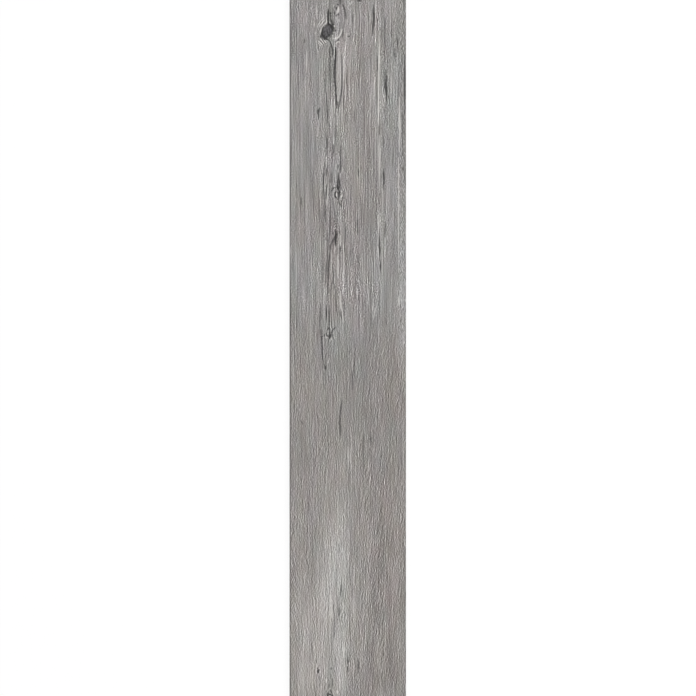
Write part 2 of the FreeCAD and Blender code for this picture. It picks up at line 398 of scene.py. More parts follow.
    Stroke("left spot", 0.85, ((25.4, 66, 0.6), (25.6, 70, 1.4), (25.8, 75, 0.6))),
    Stroke("beside the pale line", 0.78, ((151.2, 94, 0.6), (151.0, 106, 1.4), (151.4, 124, 0.6))),
    Stroke("strip line at the top", 0.50, ((140.4, 34, 0.7), (140.4, 39, 1.5), (140.6, 44, 0.6))),
    Stroke("strip line 4", 0.44, ((111.6, 190, 0.6), (111.8, 200, 1.4), (112.0, 210, 0.6))),
    Stroke("strip line 5", 0.26, ((128.6, 284, 0.6), (128.8, 300, 1.3), (128.6, 322, 0.6))),
    Stroke("right line by the edge 1", 0.84, (
        (198.0, 92, 0.8), (197.9, 120, 2.0), (197.9, 160, 2.3), (198.0, 196, 1.0),
    )),
    Stroke("right line by the edge 2", 0.54, (
        (194.4, 192, 0.7), (194.2, 206, 1.7), (194.0, 232, 1.4), (194.2, 270, 0.7),
    )),
    Stroke("between the foot's fibres 1", 0.72, (
        (55.2, 67.0, 0.7), (58.0, 71.2, 1.3), (61.2, 76.0, 0.7),
    )),
    Stroke("between the foot's fibres 2", 0.68, (
        (51.6, 68.6, 0.7), (54.4, 72.0, 1.3), (57.6, 76.6, 0.7),
    )),
    Stroke("between the foot's fibres 3", 0.50, ((48.4, 71, 0.6), (51.4, 74.6, 1.1), (54.6, 79, 0.6))),
    Stroke("between the shoulder's fibres 1", 0.60, (
        (62.0, 36, 0.7), (57.6, 40.8, 1.3), (54.6, 46, 0.7),
    )),
    Stroke("between the shoulder's fibres 2", 0.56, (
        (59.6, 31.6, 0.7), (54.8, 37.4, 1.3), (50.6, 44.4, 0.7),
    )),
    Stroke("between the shoulder's fibres 3", 0.44, (
        (55.6, 30.4, 0.6), (49.8, 38, 1.1), (46.6, 46, 0.6),
    )),
    Stroke("between the oval's foot fibres", 0.44, ((80.6, 59.2, 0.6), (77.6, 63, 1.1), (75.2, 66, 0.6))),
)

PALE_FIBRES = (
    Stroke("long pale line 1", 0.78, (
        (155.0, 66, 0.8), (154.6, 84, 1.3), (153.8, 104, 1.5), (153.0, 124, 1.5), (153.0, 144, 1.3),
        (152.8, 170, 1.2), (153.0, 196, 1.1), (153.2, 216, 0.7),
    )),
    Stroke("long pale line 2", 0.40, (
        (154.6, 232, 1.0), (154.4, 262, 2.6), (154.6, 300, 2.0), (154.4, 332, 0.9),
    )),
    Stroke("long pale line 3", 0.38, ((153.8, 366, 1.0), (152.8, 386, 2.2), (152.8, 402, 1.0))),
    Stroke("far pale line 1", 0.62, (
        (188.6, 165, 0.8), (188.4, 190, 1.7), (189.2, 222, 1.9), (189.0, 262, 0.9),
    )),
    Stroke("far pale line 2", 0.58, (
        (187.5, 272, 0.9), (187.1, 296, 1.6), (187.3, 330, 1.6), (187.3, 362, 1.4), (187.1, 400, 1.2),
        (187.3, 440, 1.0), (187.1, 472, 0.6),
    )),
    Stroke("far pale line 3", 0.70, ((187.4, 512, 0.8), (187.4, 520, 1.6), (187.6, 528, 0.8))),
    Stroke("edge pale line", 0.10, (
        (195.6, 716, 0.9), (195.2, 760, 2.2), (195.6, 800, 2.4), (195.8, 846, 1.0),
    )),
    Stroke("inside the tongue", 0.12, (
        (84.0, 84, 2.5), (84.0, 104, 4.4), (83.8, 130, 4.6), (83.8, 150, 3.7), (84.0, 164, 2.5),
        (84.2, 174, 1.1),
    )),
    Stroke("right of the tongue 1", 0.50, (
        (92.4, 98, 0.7), (92.7, 110, 1.4), (92.8, 124, 1.4), (92.6, 142, 0.7),
    )),
    Stroke("right of the tongue 2", 0.45, ((96.6, 143, 0.7), (96.7, 158, 1.3), (96.6, 177, 0.7))),
    Stroke("in the tongue's tip", 0.50, ((83.0, 166.6, 0.7), (83.1, 171, 1.6), (83.2, 174.4, 0.8))),
    Stroke("oval, left side", 0.70, (
        (84.4, 11.4, 1.0), (84.0, 16, 2.2), (83.2, 20.6, 2.0), (81.6, 24, 1.0),
    )),
    Stroke("oval, middle", 0.30, (
        (80.4, 29.6, 1.4), (82.2, 32.6, 2.6), (84.6, 35.6, 2.8), (86.2, 37.4, 1.2),
    )),
    Stroke("oval, crescent", 0.66, (
        (89.4, 50, 0.8), (88.9, 56, 1.8), (86.9, 60.6, 2.3), (84.2, 64, 2.2), (79.6, 66.4, 1.8),
        (74.8, 67.4, 1.0),
    )),
    Stroke("right of the oval 1", 0.42, ((94.0, 46.6, 0.7), (94.2, 51, 1.4), (94.0, 56, 0.7))),
    Stroke("right of the oval 2", 0.42, ((96.8, 56, 0.7), (97.4, 60.6, 1.4), (97.6, 65.4, 0.7))),
    Stroke("right of the oval 3", 0.34, ((99.2, 32, 0.7), (99.3, 37, 1.3), (99.2, 43, 0.7))),
    Stroke("over the large knot 1", 0.36, ((58.2, 4, 0.7), (58.4, 8, 1.5), (58.2, 11.4, 0.7))),
    Stroke("over the large knot 2", 0.40, ((75.2, 6, 0.7), (75.2, 9, 1.5), (75.0, 13, 0.7))),
    Stroke("oval, foot", 0.66, (
        (79.6, 75, 1.2), (81.4, 73.2, 1.7), (83.8, 71.6, 1.8), (86.2, 72.6, 0.9),
    )),
    Stroke("foot of the large knot 1", 0.92, ((56.2, 65.2, 0.9), (59.2, 69.2, 1.6), (62.0, 73.2, 1.0))),
    Stroke("foot of the large knot 2", 0.86, ((53.2, 66.8, 0.8), (56.4, 71.4, 1.5), (59.4, 76, 0.8))),
    Stroke("foot of the large knot 3", 0.80, ((49.2, 70.2, 0.8), (52.6, 73.8, 1.5), (56.6, 77.8, 0.8))),
    Stroke("foot of the large knot 4", 0.56, ((48.6, 72.0, 0.8), (51.0, 76.0, 1.3), (53.0, 79.8, 0.8))),
    Stroke("foot of the large knot 5", 0.66, ((54.2, 63.0, 0.7), (54.8, 64.6, 1.6), (55.2, 66.2, 0.7))),
    Stroke("shoulder of the large knot 1", 0.68, (
        (61.8, 31.8, 0.7), (57.4, 37, 1.4), (53.0, 43, 1.2), (51.2, 47, 0.7),
    )),
    Stroke("shoulder of the large knot 2", 0.62, (
        (57.8, 30.8, 0.7), (52.4, 37.6, 1.3), (48.6, 44.6, 1.1), (47.4, 49, 0.6),
    )),
    Stroke("shoulder of the large knot 3", 0.58, ((61.0, 39.4, 0.7), (58.2, 43, 1.4), (56.0, 47, 0.8))),
    Stroke("shoulder of the large knot 4", 0.24, (
        (60.0, 25.4, 0.6), (57.0, 29.4, 1.2), (54.4, 33.6, 0.6),
    )),
    Stroke("glint in the fringe 1", 0.86, ((76.6, 43.2, 0.7), (77.1, 44.6, 1.7), (77.4, 46.2, 0.8))),
    Stroke("glint in the fringe 2", 0.46, ((74.0, 56.4, 0.8), (76.2, 55.8, 1.4), (78.0, 55.8, 0.8))),
    Stroke("glint at the knot's right foot", 0.76, (
        (73.6, 60.2, 0.6), (73.9, 61.4, 1.6), (74.0, 62.8, 0.6),
    )),
    Stroke("glint in the large knot", 0.30, ((58.0, 52, 0.6), (58.4, 53.6, 1.3), (58.2, 55.2, 0.6))),
    Stroke("right of the knot's foot 1", 0.40, ((78.6, 59.4, 0.6), (75.6, 63.8, 1.2), (73.4, 66.6, 0.6))),
    Stroke("right of the knot's foot 2", 0.44, ((83.0, 58.4, 0.6), (79.8, 62.6, 1.2), (77.4, 65.4, 0.6))),
    Stroke("left of the large knot", 0.60, ((54.6, 48, 0.7), (53.2, 54, 1.3), (52.8, 59, 0.8))),
    Stroke("left of the crack's foot", 0.60, ((63.4, 34.4, 0.7), (63.8, 37.6, 1.6), (63.6, 40.2, 0.7))),
    Stroke("far left of the large knot 1", 0.50, ((44.2, 53, 0.7), (44.5, 57, 1.5), (44.2, 60.4, 0.7))),
    Stroke("far left of the large knot 2", 0.50, ((42.4, 37.6, 0.7), (42.6, 42, 1.6), (42.6, 47, 0.7))),
    Stroke("left fibre 1", 0.55, ((29.0, 88, 0.7), (29.2, 108, 1.4), (29.0, 126, 0.7))),
    Stroke("left fibre 2", 0.62, ((46.4, 8, 0.7), (46.6, 20, 1.4), (46.4, 32, 0.7))),
    Stroke("second knot, left glint", 0.92, ((80.3, 331.6, 0.8), (80.4, 334.6, 1.5), (80.6, 338, 0.8))),
    Stroke("second knot, middle glint", 0.92, ((88.8, 328.6, 0.8), (89.4, 330.2, 1.9), (89.6, 332, 0.8))),
    Stroke("second knot, right glint", 0.74, (
        (89.0, 336.6, 0.7), (89.6, 339.2, 1.8), (89.4, 341.6, 0.8),
    )),
    Stroke("second knot, inner glint", 0.84, (
        (86.9, 333.2, 0.6), (87.7, 333.3, 1.5), (88.4, 333.0, 0.6),
    )),
    Stroke("second knot, outer glint", 0.56, (
        (91.6, 324.4, 0.6), (93.2, 327.4, 1.3), (94.0, 330.2, 0.6),
    )),
    Stroke("over the second knot 1", 0.40, ((79.8, 282, 0.7), (79.8, 288, 1.4), (79.8, 293, 0.7))),
    Stroke("over the second knot 2", 0.50, ((90.7, 287, 0.7), (90.8, 293, 1.5), (90.6, 298.4, 0.7))),
    Stroke("beside the second knot's left line", 0.48, (
        (60.0, 304, 0.8), (60.1, 316, 1.5), (60.0, 329, 0.8),
    )),
    Stroke("left of the second knot's tail", 0.48, (
        (64.8, 324, 0.8), (64.9, 338, 1.6), (65.0, 356, 0.8),
    )),
    Stroke("right of the second knot", 0.50, (
        (92.4, 318, 0.7), (95.6, 325, 1.1), (97.6, 334, 1.1), (97.6, 344, 0.6),
    )),
    Stroke("right shoulder fibre", 0.20, (
        (87.8, 352, 0.8), (87.6, 370, 1.9), (87.8, 390, 2.0), (87.4, 408, 0.9),
    )),
    Stroke("beside the fork", 0.34, ((86.0, 404, 1.2), (87.0, 415, 2.6), (86.6, 428, 1.0))),
    Stroke("under the fork", 0.32, (
        (82.4, 440, 1.2), (82.6, 454, 2.4), (82.6, 468, 2.2), (82.8, 480, 1.0),
    )),
    Stroke("pale streak", 0.52, (
        (87.2, 500, 0.9), (87.2, 510, 2.2), (87.8, 521, 2.6), (88.8, 530, 2.2), (90.2, 537, 1.0),
    )),
    Stroke("third knot, glint 1", 0.88, ((69.9, 572.6, 0.6), (70.0, 574.4, 1.4), (69.6, 576, 0.6))),
    Stroke("third knot, glint 2", 0.62, ((62.4, 580.6, 0.6), (63.8, 582, 1.5), (65.2, 582.8, 0.8))),
    Stroke("third knot, glint 3", 0.48, ((76.4, 579.4, 0.7), (77.1, 582, 1.6), (77.3, 584.8, 0.7))),
    Stroke("third knot, glint 4", 0.74, ((71.5, 581.2, 0.6), (71.8, 583.8, 1.3), (72.0, 586.4, 0.7))),
    Stroke("third knot, glint 5", 0.60, ((65.3, 571.6, 0.6), (65.8, 574, 1.2), (65.6, 576.6, 0.6))),
    Stroke("below the pale streak", 0.54, ((90.4, 533, 0.9), (91.6, 546, 1.5), (92.6, 558, 0.8))),
    Stroke("slanted fibres 1", 0.58, ((144.0, 523, 0.7), (142.4, 530, 1.4), (142.2, 536, 0.7))),
    Stroke("slanted fibres 2", 0.50, (
        (148.8, 526, 0.7), (146.6, 536, 1.4), (144.6, 546, 1.2), (144.2, 552, 0.6),
    )),
    Stroke("under the third knot", 0.42, ((68.6, 618, 0.8), (66.2, 624.4, 1.5), (63.2, 630, 0.8))),
    Stroke("left of the third knot's crack", 0.28, (
        (55.0, 636, 0.8), (54.8, 648, 1.6), (55.2, 662, 0.8),
    )),
    Stroke("middle fibre 1", 0.50, (
        (105.6, 764, 0.8), (106.0, 774, 1.4), (104.8, 790, 1.3), (105.0, 814, 0.7),
    )),
    Stroke("middle fibre 2", 0.42, ((100.2, 770, 0.8), (100.6, 784, 1.5), (100.6, 808, 0.7))),
    Stroke("bud's glint", 0.44, ((83.8, 927, 0.9), (84.6, 932, 1.9), (84.2, 936, 0.8))),
    Stroke("low pale fibre 1", 0.80, ((94.2, 1108, 0.8), (93.8, 1122, 1.5), (92.2, 1134, 0.7))),
    Stroke("low pale fibre 2", 0.34, ((95.4, 1082, 0.8), (94.6, 1092, 1.4), (94.8, 1102, 0.7))),
    Stroke("left of the eye", 0.50, (
        (70.4, 1016, 0.8), (70.6, 1030, 1.8), (71.0, 1038, 2.2), (71.8, 1048, 1.9), (72.2, 1058, 1.6),
        (72.4, 1066, 0.8),
    )),
    Stroke("right of the pupil", 0.50, ((91.8, 1050.4, 0.7), (89.6, 1055.4, 1.4), (87.2, 1061, 0.8))),
    Stroke("right of the eye 1", 0.62, ((97.8, 1060.4, 0.7), (97.7, 1064.6, 1.7), (97.4, 1069, 0.7))),
    Stroke("right of the eye 2", 0.44, ((95.6, 1038, 0.7), (95.5, 1046, 1.3), (95.4, 1055, 0.7))),
    Stroke("over the pupil", 0.52, ((85.5, 1007, 0.7), (85.5, 1014.5, 1.3), (85.4, 1022, 0.7))),
    Stroke("low bud's glint", 0.72, ((51.9, 1156.2, 0.7), (52.2, 1158.2, 1.5), (51.8, 1160.2, 0.7))),
    Stroke("under the low dots", 0.86, ((63.2, 1170.2, 0.7), (63.3, 1173.6, 1.8), (63.2, 1176.8, 0.7))),
    Stroke("beside the end knot", 0.86, ((82.2, 1190.6, 0.8), (82.2, 1193.8, 1.9), (82.2, 1197, 0.8))),
)

SMUDGES = (
    Stroke("round the large knot", 0.30, (
        (73.6, 36, 3.4), (75.6, 46, 5.0), (74.6, 56, 5.0), (70.6, 64, 3.4),
    )),
    Stroke("over the oval", 0.60, ((87.6, -6, 9.0), (87.6, 0.6, 8.6), (87.4, 5.0, 6.4))),
    Stroke("top edge mark", 0.66, ((116.0, -1, 3.0), (121.0, -1, 3.6))),
    Stroke("top edge shade", 0.26, ((112.0, 1, 5.0), (117.0, 6, 6.0), (115.0, 14, 4.0))),
    Stroke("top right corner", 0.34, ((196.0, 0, 4.0), (197.0, 6, 4.0), (198.0, 16, 2.0))),
    Stroke("tip of the tongue", 0.46, ((83.6, 176, 3.2), (83.8, 184, 4.6), (84.0, 194, 2.4))),
    Stroke("left of the tongue", 0.16, ((68.0, 120, 7.0), (69.0, 150, 8.0), (70.0, 176, 5.0))),
    Stroke("left of the second knot", 0.54, (
        (71.2, 298, 2.0), (71.4, 304, 3.4), (71.6, 310, 4.2), (71.4, 313.6, 2.4),
    )),
    Stroke("foot of that mark", 0.50, ((67.4, 312.4, 1.4), (70.6, 313.2, 2.6), (73.8, 312.4, 1.8))),
    Stroke("second knot", 0.34, ((84.4, 306, 4.0), (85.0, 322, 5.0), (85.2, 340, 5.4))),
    Stroke("between the second knot's walls", 0.30, (
        (84.0, 308.6, 1.8), (84.2, 316, 2.8), (83.4, 323.8, 2.6),
    )),
    Stroke("fork", 0.26, ((76.4, 402, 2.8), (75.0, 411, 4.2), (80.4, 405, 3.6), (79.0, 420, 1.8))),
    Stroke("beside the fork", 0.18, ((70.0, 424, 4.0), (67.0, 450, 5.0), (65.0, 480, 4.0))),
    Stroke("third knot", 0.30, ((66.6, 564, 3.4), (68.4, 574, 5.4), (70.0, 584, 3.4))),
    Stroke("left of the third knot", 0.60, ((53.6, 569.2, 3.2), (54.2, 573.6, 5.2), (55.0, 578.4, 3.0))),
    Stroke("round the lower crack", 0.30, (
        (88.6, 694, 2.8), (87.6, 706, 4.4), (87.0, 724, 5.6), (87.8, 734, 5.4), (87.2, 748, 3.6),
    )),
    Stroke("eye", 0.34, (
        (85.0, 1030, 2.4), (84.8, 1038, 4.0), (85.0, 1046, 4.4), (85.0, 1056, 4.4), (84.0, 1066, 3.4),
        (83.4, 1074, 2.0),
    )),
    Stroke("down from the eye", 0.20, ((75.4, 1040, 2.4), (76.6, 1066, 3.4), (77.0, 1100, 2.8))),
    Stroke("bud low on the left", 0.30, (
        (51.6, 1146, 1.8), (51.4, 1150.4, 3.0), (50.0, 1157, 4.0), (50.6, 1164, 2.6), (51.2, 1172, 1.6),
    )),
    Stroke("end knot", 0.40, ((69.6, 1192, 2.0), (70.0, 1197, 3.6), (70.0, 1203, 5.0))),
    Stroke("long spot on the right", 0.28, (
        (165.4, 128, 3.0), (165.4, 150, 5.4), (165.8, 172, 3.0), (165.0, 214, 2.0),
    )),
    Stroke("specks on the right", 0.40, ((156.6, 299, 2.4), (157.0, 305, 2.8), (156.4, 310, 2.0))),
    Stroke("right edge shade", 0.30, ((198.0, 266, 4.0), (198.4, 288, 5.0), (198.0, 312, 4.0))),
)

# Broad changes of the print: middle across and down, half sizes, change of lightness in
# display units, and warmth, which is negative for greenish grey and positive for brown. These
# and the next two tables were given one by one, most of them against mean tones, tints and
# contrasts of the photograph measured over cells of 20 by 60 mm.
Patch = namedtuple("Patch", "across down half_width half_length lighter warmer")
PATCHES = (
    Patch(20, 110, 34, 120, -0.012, -0.5),
    Patch(30, 140, 14, 52, 0.050, 0.6),
    Patch(30, 40, 14, 30, 0.010, 0.6),
    Patch(14, 205, 26, 28, 0.022, 0.0),
    Patch(90, 92, 10, 50, 0.034, 0.5),
    Patch(108, 110, 18, 60, 0.0, 0.5),
    Patch(90, 260, 9, 30, 0.028, 0.0),
    Patch(165, 20, 17, 30, 0.022, 0.0),
    Patch(128, 150, 26, 170, 0.004, 0.75),
    Patch(118, 300, 22, 120, -0.012, 0.60),
    Patch(130, 236, 10, 50, -0.036, 0.3),
    Patch(180, 216, 18, 50, -0.028, 0.1),
    Patch(165, 210, 18, 130, 0.010, -0.60),
    Patch(188, 60, 14, 60, -0.020, -0.20),
    Patch(28, 380, 26, 70, -0.006, 0.70),
    Patch(44, 328, 18, 34, -0.010, 0.9),
    Patch(52, 375, 14, 34, 0.0, 0.45),
    Patch(20, 300, 24, 60, -0.004, -0.45),
    Patch(8, 450, 14, 50, 0.018, 0.15),
    Patch(110, 470, 10, 120, -0.028, 0.2),
    Patch(130, 455, 9, 44, 0.016, 0.2),
    Patch(90, 440, 9, 40, 0.024, 0.8),
    Patch(112, 446, 13, 44, -0.012, 1.4),
    Patch(152, 350, 22, 50, -0.018, 0.50),
    Patch(165, 460, 30, 70, -0.004, -0.70),
    Patch(150, 545, 11, 60, -0.040, 0.0),
    Patch(182, 505, 20, 26, 0.026, 0.0),
    Patch(72, 450, 12, 60, -0.010, 1.2),
    Patch(24, 470, 26, 50, -0.004, -0.60),
    Patch(196, 450, 8, 150, 0.022, -0.30),
    Patch(86, 515, 20, 36, 0.014, 1.1),
    Patch(66, 600, 20, 46, -0.004, -0.80),
    Patch(112, 600, 26, 60, -0.004, -0.90),
    Patch(196, 560, 12, 40, 0.004, -0.60),
    Patch(24, 640, 24, 90, -0.006, 0.55),
    Patch(100, 690, 150, 120, -0.015, 0.0),
    Patch(130, 610, 40, 70, -0.018, -0.10),
    Patch(168, 690, 30, 90, -0.014, 0.75),
    Patch(180, 750, 22, 36, -0.006, -1.5),
    Patch(100, 720, 22, 60, -0.004, -0.60),
    Patch(30, 785, 14, 44, -0.018, 0.0),
    Patch(8, 745, 12, 44, -0.014, -1.2),
    Patch(150, 790, 40, 100, -0.010, 0.10),
    Patch(152, 790, 12, 36, 0.0, -0.60),
    Patch(92, 806, 11, 40, 0.014, 0.95),
    Patch(60, 855, 24, 40, 0.0, 0.45),
    Patch(192, 800, 10, 30, -0.014, 0.0),
    Patch(26, 840, 30, 100, -0.004, 0.35),
    Patch(168, 920, 30, 130, -0.026, 0.90),
    Patch(170, 940, 12, 50, -0.006, 1.4),
    Patch(86, 930, 18, 70, 0.062, -0.50),
    Patch(70, 1000, 20, 60, 0.052, -0.40),
    Patch(40, 1070, 34, 80, 0.038, 0.20),
    Patch(32, 1120, 16, 70, 0.022, 0.0),
    Patch(110, 1050, 9, 34, 0.026, 0.0),
    Patch(66, 1112, 14, 36, 0.016, 0.0),
    Patch(92, 1100, 16, 110, 0.036, -0.85),
    Patch(90, 1176, 12, 28, 0.034, 0.2),
    Patch(62, 1150, 40, 70, 0.036, -0.10),
    Patch(160, 1110, 34, 110, -0.024, 0.70),
    Patch(148, 1075, 14, 50, 0.0, -0.45),
    Patch(152, 1172, 14, 28, -0.064, 0.3),
    Patch(193, 1106, 9, 34, 0.0, -1.6),
    Patch(24, 1160, 30, 60, 0.006, 0.45),
    Patch(192, 1040, 10, 160, -0.012, -0.10),
    Patch(90, 150, 9, 40, 0.050, 0.8),
    Patch(82, 90, 18, 26, 0.026, 0.4),
    Patch(30, 165, 14, 40, 0.016, 0.1),
    Patch(150, 206, 10, 26, 0.038, 0.0),
    Patch(8, 318, 12, 26, 0.018, 0.0),
    Patch(191, 306, 10, 50, -0.046, 0.0),
    Patch(70, 376, 10, 44, -0.032, 0.55),
    Patch(8, 502, 12, 26, 0.020, 0.0),
    Patch(110, 506, 11, 26, -0.050, 0.6),
    Patch(30, 570, 12, 28, -0.018, 0.1),
    Patch(84, 570, 13, 26, 0.046, -0.7),
    Patch(54, 574, 6, 7, -0.010, 0.9),
    Patch(132, 742, 12, 40, -0.016, 0.0),
    Patch(8, 1030, 10, 50, -0.042, 0.1),
    Patch(40, 1046, 16, 36, 0.026, 0.1),
    Patch(110, 1010, 9, 70, 0.036, 0.4),
    Patch(30, 1166, 14, 34, 0.058, 0.1),
    Patch(70, 24, 14, 28, -0.034, -0.3),
    Patch(92, 30, 10, 30, 0.020, -0.2),
    Patch(30, 28, 16, 30, 0.0, 0.7),
    Patch(110, 24, 9, 26, -0.014, 0.0),
    Patch(10, 90, 10, 30, -0.018, 0.2),
    Patch(112, 90, 22, 34, 0.0, 0.4),
    Patch(42, 150, 20, 30, 0.004, 0.6),
    Patch(152, 148, 10, 30, -0.022, 0.0),
    Patch(45, 212, 18, 28, 0.016, 0.3),
    Patch(90, 362, 9, 70, 0.022, 0.1),
    Patch(110, 350, 9, 44, -0.015, 0.2),
    Patch(150, 390, 12, 28, 0.018, -0.2),
    Patch(8, 450, 10, 28, 0.018, 0.0),
    Patch(132, 634, 10, 34, 0.0, -0.7),
    Patch(168, 660, 20, 60, -0.012, 0.0),
    Patch(160, 805, 18, 28, 0.0, -0.4),
    Patch(40, 800, 22, 34, -0.012, 0.0),
    Patch(140, 870, 18, 28, -0.018, 0.0),
    Patch(90, 930, 30, 60, 0.008, 0.5),
    Patch(130, 930, 9, 28, -0.016, 0.0),
    Patch(50, 1000, 12, 56, 0.022, 0.0),
    Patch(28, 1080, 12, 50, 0.022, 0.4),
    Patch(90, 1058, 9, 60, -0.018, 0.0),
    Patch(70, 1050, 12, 44, 0.0, 0.5),
    Patch(60, 1168, 18, 30, 0.018, 0.3),
    Patch(170, 1112, 10, 34, -0.018, -0.2),
)

# Where the fibres are bolder, or calmer when the last value is negative: middle across and
# down, half sizes, change of contrast
Boldness = namedtuple("Boldness", "across down half_width half_length bolder")
BOLD_PLACES = (
    Boldness(16, 256, 26, 170, -0.54),
    Boldness(36, 340, 14, 60, -0.12),
    Boldness(110, 300, 11, 60, -0.46),
    Boldness(130, 380, 12, 44, -0.30),
    Boldness(130, 170, 12, 60, -0.22),
    Boldness(152, 268, 12, 36, -0.30),
    Boldness(172, 330, 12, 40, -0.28),
    Boldness(172, 480, 14, 44, -0.30),
    Boldness(150, 40, 11, 50, 0.30),
    Boldness(174, 70, 14, 70, 0.34),
    Boldness(192, 90, 10, 50, 0.26),
    Boldness(192, 270, 8, 70, 0.22),
    Boldness(192, 480, 8, 100, 0.22),
    Boldness(90, 360, 12, 160, 0.08),
    Boldness(120, 500, 24, 34, 0.44),
    Boldness(90, 505, 10, 30, 0.20),
    Boldness(150, 630, 11, 44, 0.30),
    Boldness(192, 630, 10, 80, 0.50),
    Boldness(130, 630, 11, 34, -0.36),
    Boldness(110, 690, 10, 32, -0.40),
    Boldness(50, 665, 12, 44, -0.26),
    Boldness(26, 750, 14, 34, -0.26),
    Boldness(10, 805, 14, 34, -0.24),
    Boldness(50, 805, 10, 30, 0.32),
    Boldness(70, 865, 18, 32, -0.26),
    Boldness(160, 815, 22, 50, 0.30),
    Boldness(192, 890, 10, 70, 0.44),
    Boldness(50, 950, 12, 40, -0.22),
    Boldness(110, 920, 10, 30, -0.24),
    Boldness(146, 1010, 20, 70, 0.26),
    Boldness(30, 1050, 11, 30, -0.28),
    Boldness(12, 1172, 26, 28, -0.24),
    Boldness(70, 1172, 12, 26, -0.32),
    Boldness(30, 95, 20, 44, -0.28),
    Boldness(80, 212, 14, 34, 0.22),
    Boldness(170, 182, 11, 56, 0.42),
    Boldness(28, 318, 13, 28, -0.34),
    Boldness(170, 326, 10, 26, -0.26),
    Boldness(10, 480, 12, 60, -0.52),
    Boldness(170, 510, 11, 24, -0.42),
    Boldness(192, 574, 10, 30, 0.28),
    Boldness(110, 570, 10, 28, -0.22),
    Boldness(130, 626, 11, 28, -0.10),
    Boldness(80, 695, 46, 32, -0.18),
    Boldness(80, 748, 20, 28, -0.14),
    Boldness(90, 806, 11, 30, -0.32),
    Boldness(110, 866, 10, 30, -0.18),
    Boldness(192, 866, 9, 30, 0.30),
    Boldness(50, 986, 11, 30, -0.28),
    Boldness(110, 1046, 11, 30, -0.30),
    Boldness(30, 1172, 12, 28, -0.22),
    Boldness(150, 1172, 11, 28, -0.18),
    Boldness(88, 34, 7, 24, -0.80),
    Boldness(92, 446, 4, 22, -0.50),
    Boldness(84, 124, 5, 44, -0.45),
    Boldness(91, 322, 5, 8, -0.35),
    Boldness(76, 514, 5, 30, -0.30),
    Boldness(76, 1074, 5, 34, -0.35),
    Boldness(30, 24, 11, 26, 0.30),
    Boldness(30, 150, 11, 26, 0.24),
    Boldness(50, 120, 10, 60, -0.24),
    Boldness(192, 150, 9, 28, -0.32),
    Boldness(170, 212, 10, 28, 0.38),
    Boldness(170, 266, 10, 24, -0.26),
    Boldness(150, 448, 10, 28, -0.26),
    Boldness(192, 448, 9, 28, 0.20),
    Boldness(170, 570, 10, 28, 0.26),
    Boldness(150, 750, 10, 30, -0.30),
    Boldness(90, 808, 10, 28, 0.24),
    Boldness(192, 806, 9, 28, -0.30),
    Boldness(8, 866, 10, 28, 0.34),
    Boldness(90, 988, 10, 28, -0.26),
    Boldness(192, 988, 9, 28, 0.32),
    Boldness(70, 1108, 10, 28, -0.28),
    Boldness(110, 1140, 10, 54, 0.24),
    Boldness(192, 1170, 9, 26, 0.24),
)

# Where the print is pinker, or greener when the last value is negative
Pinkness = namedtuple("Pinkness", "across down half_width half_length pinker")
PINK_PLACES = (
    Pinkness(92, 1060, 11, 110, -0.90),
    Pinkness(172, 1010, 11, 70, 0.80),
    Pinkness(150, 120, 9, 60, -1.00),
    Pinkness(120, 570, 18, 62, 0.60),
    Pinkness(95, 235, 18, 40, -0.60),
    Pinkness(8, 388, 10, 26, 0.90),
    Pinkness(68, 388, 12, 30, 0.60),
    Pinkness(122, 388, 18, 30, 0.60),
    Pinkness(30, 450, 10, 26, 0.60),
    Pinkness(128, 505, 12, 26, 0.60),
    Pinkness(78, 930, 14, 60, -0.70),
    Pinkness(70, 865, 9, 26, -0.70),
    Pinkness(154, 805, 9, 26, 0.60),
    Pinkness(170, 865, 9, 26, 0.60),
    Pinkness(162, 748, 14, 26, 0.50),
    Pinkness(50, 325, 9, 26, -0.45),
    Pinkness(150, 325, 34, 26, 0.35),
    Pinkness(40, 30, 34, 26, 0.40),
    Pinkness(45, 210, 26, 26, 0.35),
    Pinkness(193, 640, 8, 60, -0.45),
    Pinkness(193, 388, 8, 26, -0.45),
    Pinkness(92, 430, 10, 40, -0.40),
)

# Where pale flecks lie: middle across and down, half sizes, share
Flecked = namedtuple("Flecked", "across down half_width half_length share")
FLECKED_PLACES = (
    Flecked(80, 942, 16, 46, 1.0),
    Flecked(91, 1085, 7, 44, 0.7),
    Flecked(62, 1040, 8, 30, 0.5),
    Flecked(17, 514, 14, 22, 0.8),
    Flecked(127, 506, 11, 14, 1.0),
    Flecked(150, 536, 12, 16, 0.7),
    Flecked(192, 514, 7, 22, 0.8),
    Flecked(193, 600, 6, 26, 0.9),
    Flecked(18, 650, 16, 50, 0.5),
    Flecked(66, 579, 10, 9, 0.9),
    Flecked(102, 579, 8, 8, 0.6),
    Flecked(186, 300, 12, 34, 0.6),
    Flecked(178, 455, 10, 28, 0.7),
    Flecked(194, 410, 6, 90, 0.7),
    Flecked(176, 108, 16, 34, 0.7),
    Flecked(104, 10, 8, 14, 0.8),
    Flecked(160, 26, 12, 30, 0.5),
    Flecked(24, 900, 12, 20, 0.5),
)


# Values of a stroke's ramp and of a field of strokes far outside every stroke
RAMP_OUTSIDE = -9.0
FIELD_OUTSIDE = -0.6

# Places down the plank, in millimetres on the marks' scale, between which the weathered fibres
# give way to the brushed ones, and between which those change again in the low third
BRUSHED_FROM = (500.0, 640.0)
LOW_THIRD_FROM = (840.0, 960.0)

# How noises are scaled: from Noise Texture's 0 to 1 to about -1 to 1, the gap of a combed noise's
# two sides in fibre widths, and the sway of a ridge's phase in radians
NOISE_GAIN = 3.2
COMB_GAP = 1.06
RIDGE_SWAY = 2.6

DARKEST_PRINT = 0.04
DISPLAY_GAMMA = 2.2
BUMP_UNIT = 0.001
CERAMIC_IOR = 1.5
CERAMIC_SPECULAR = 0.36
FLOOR_SHADE = 0.97
WHITE = (1.0, 1.0, 1.0, 1.0)

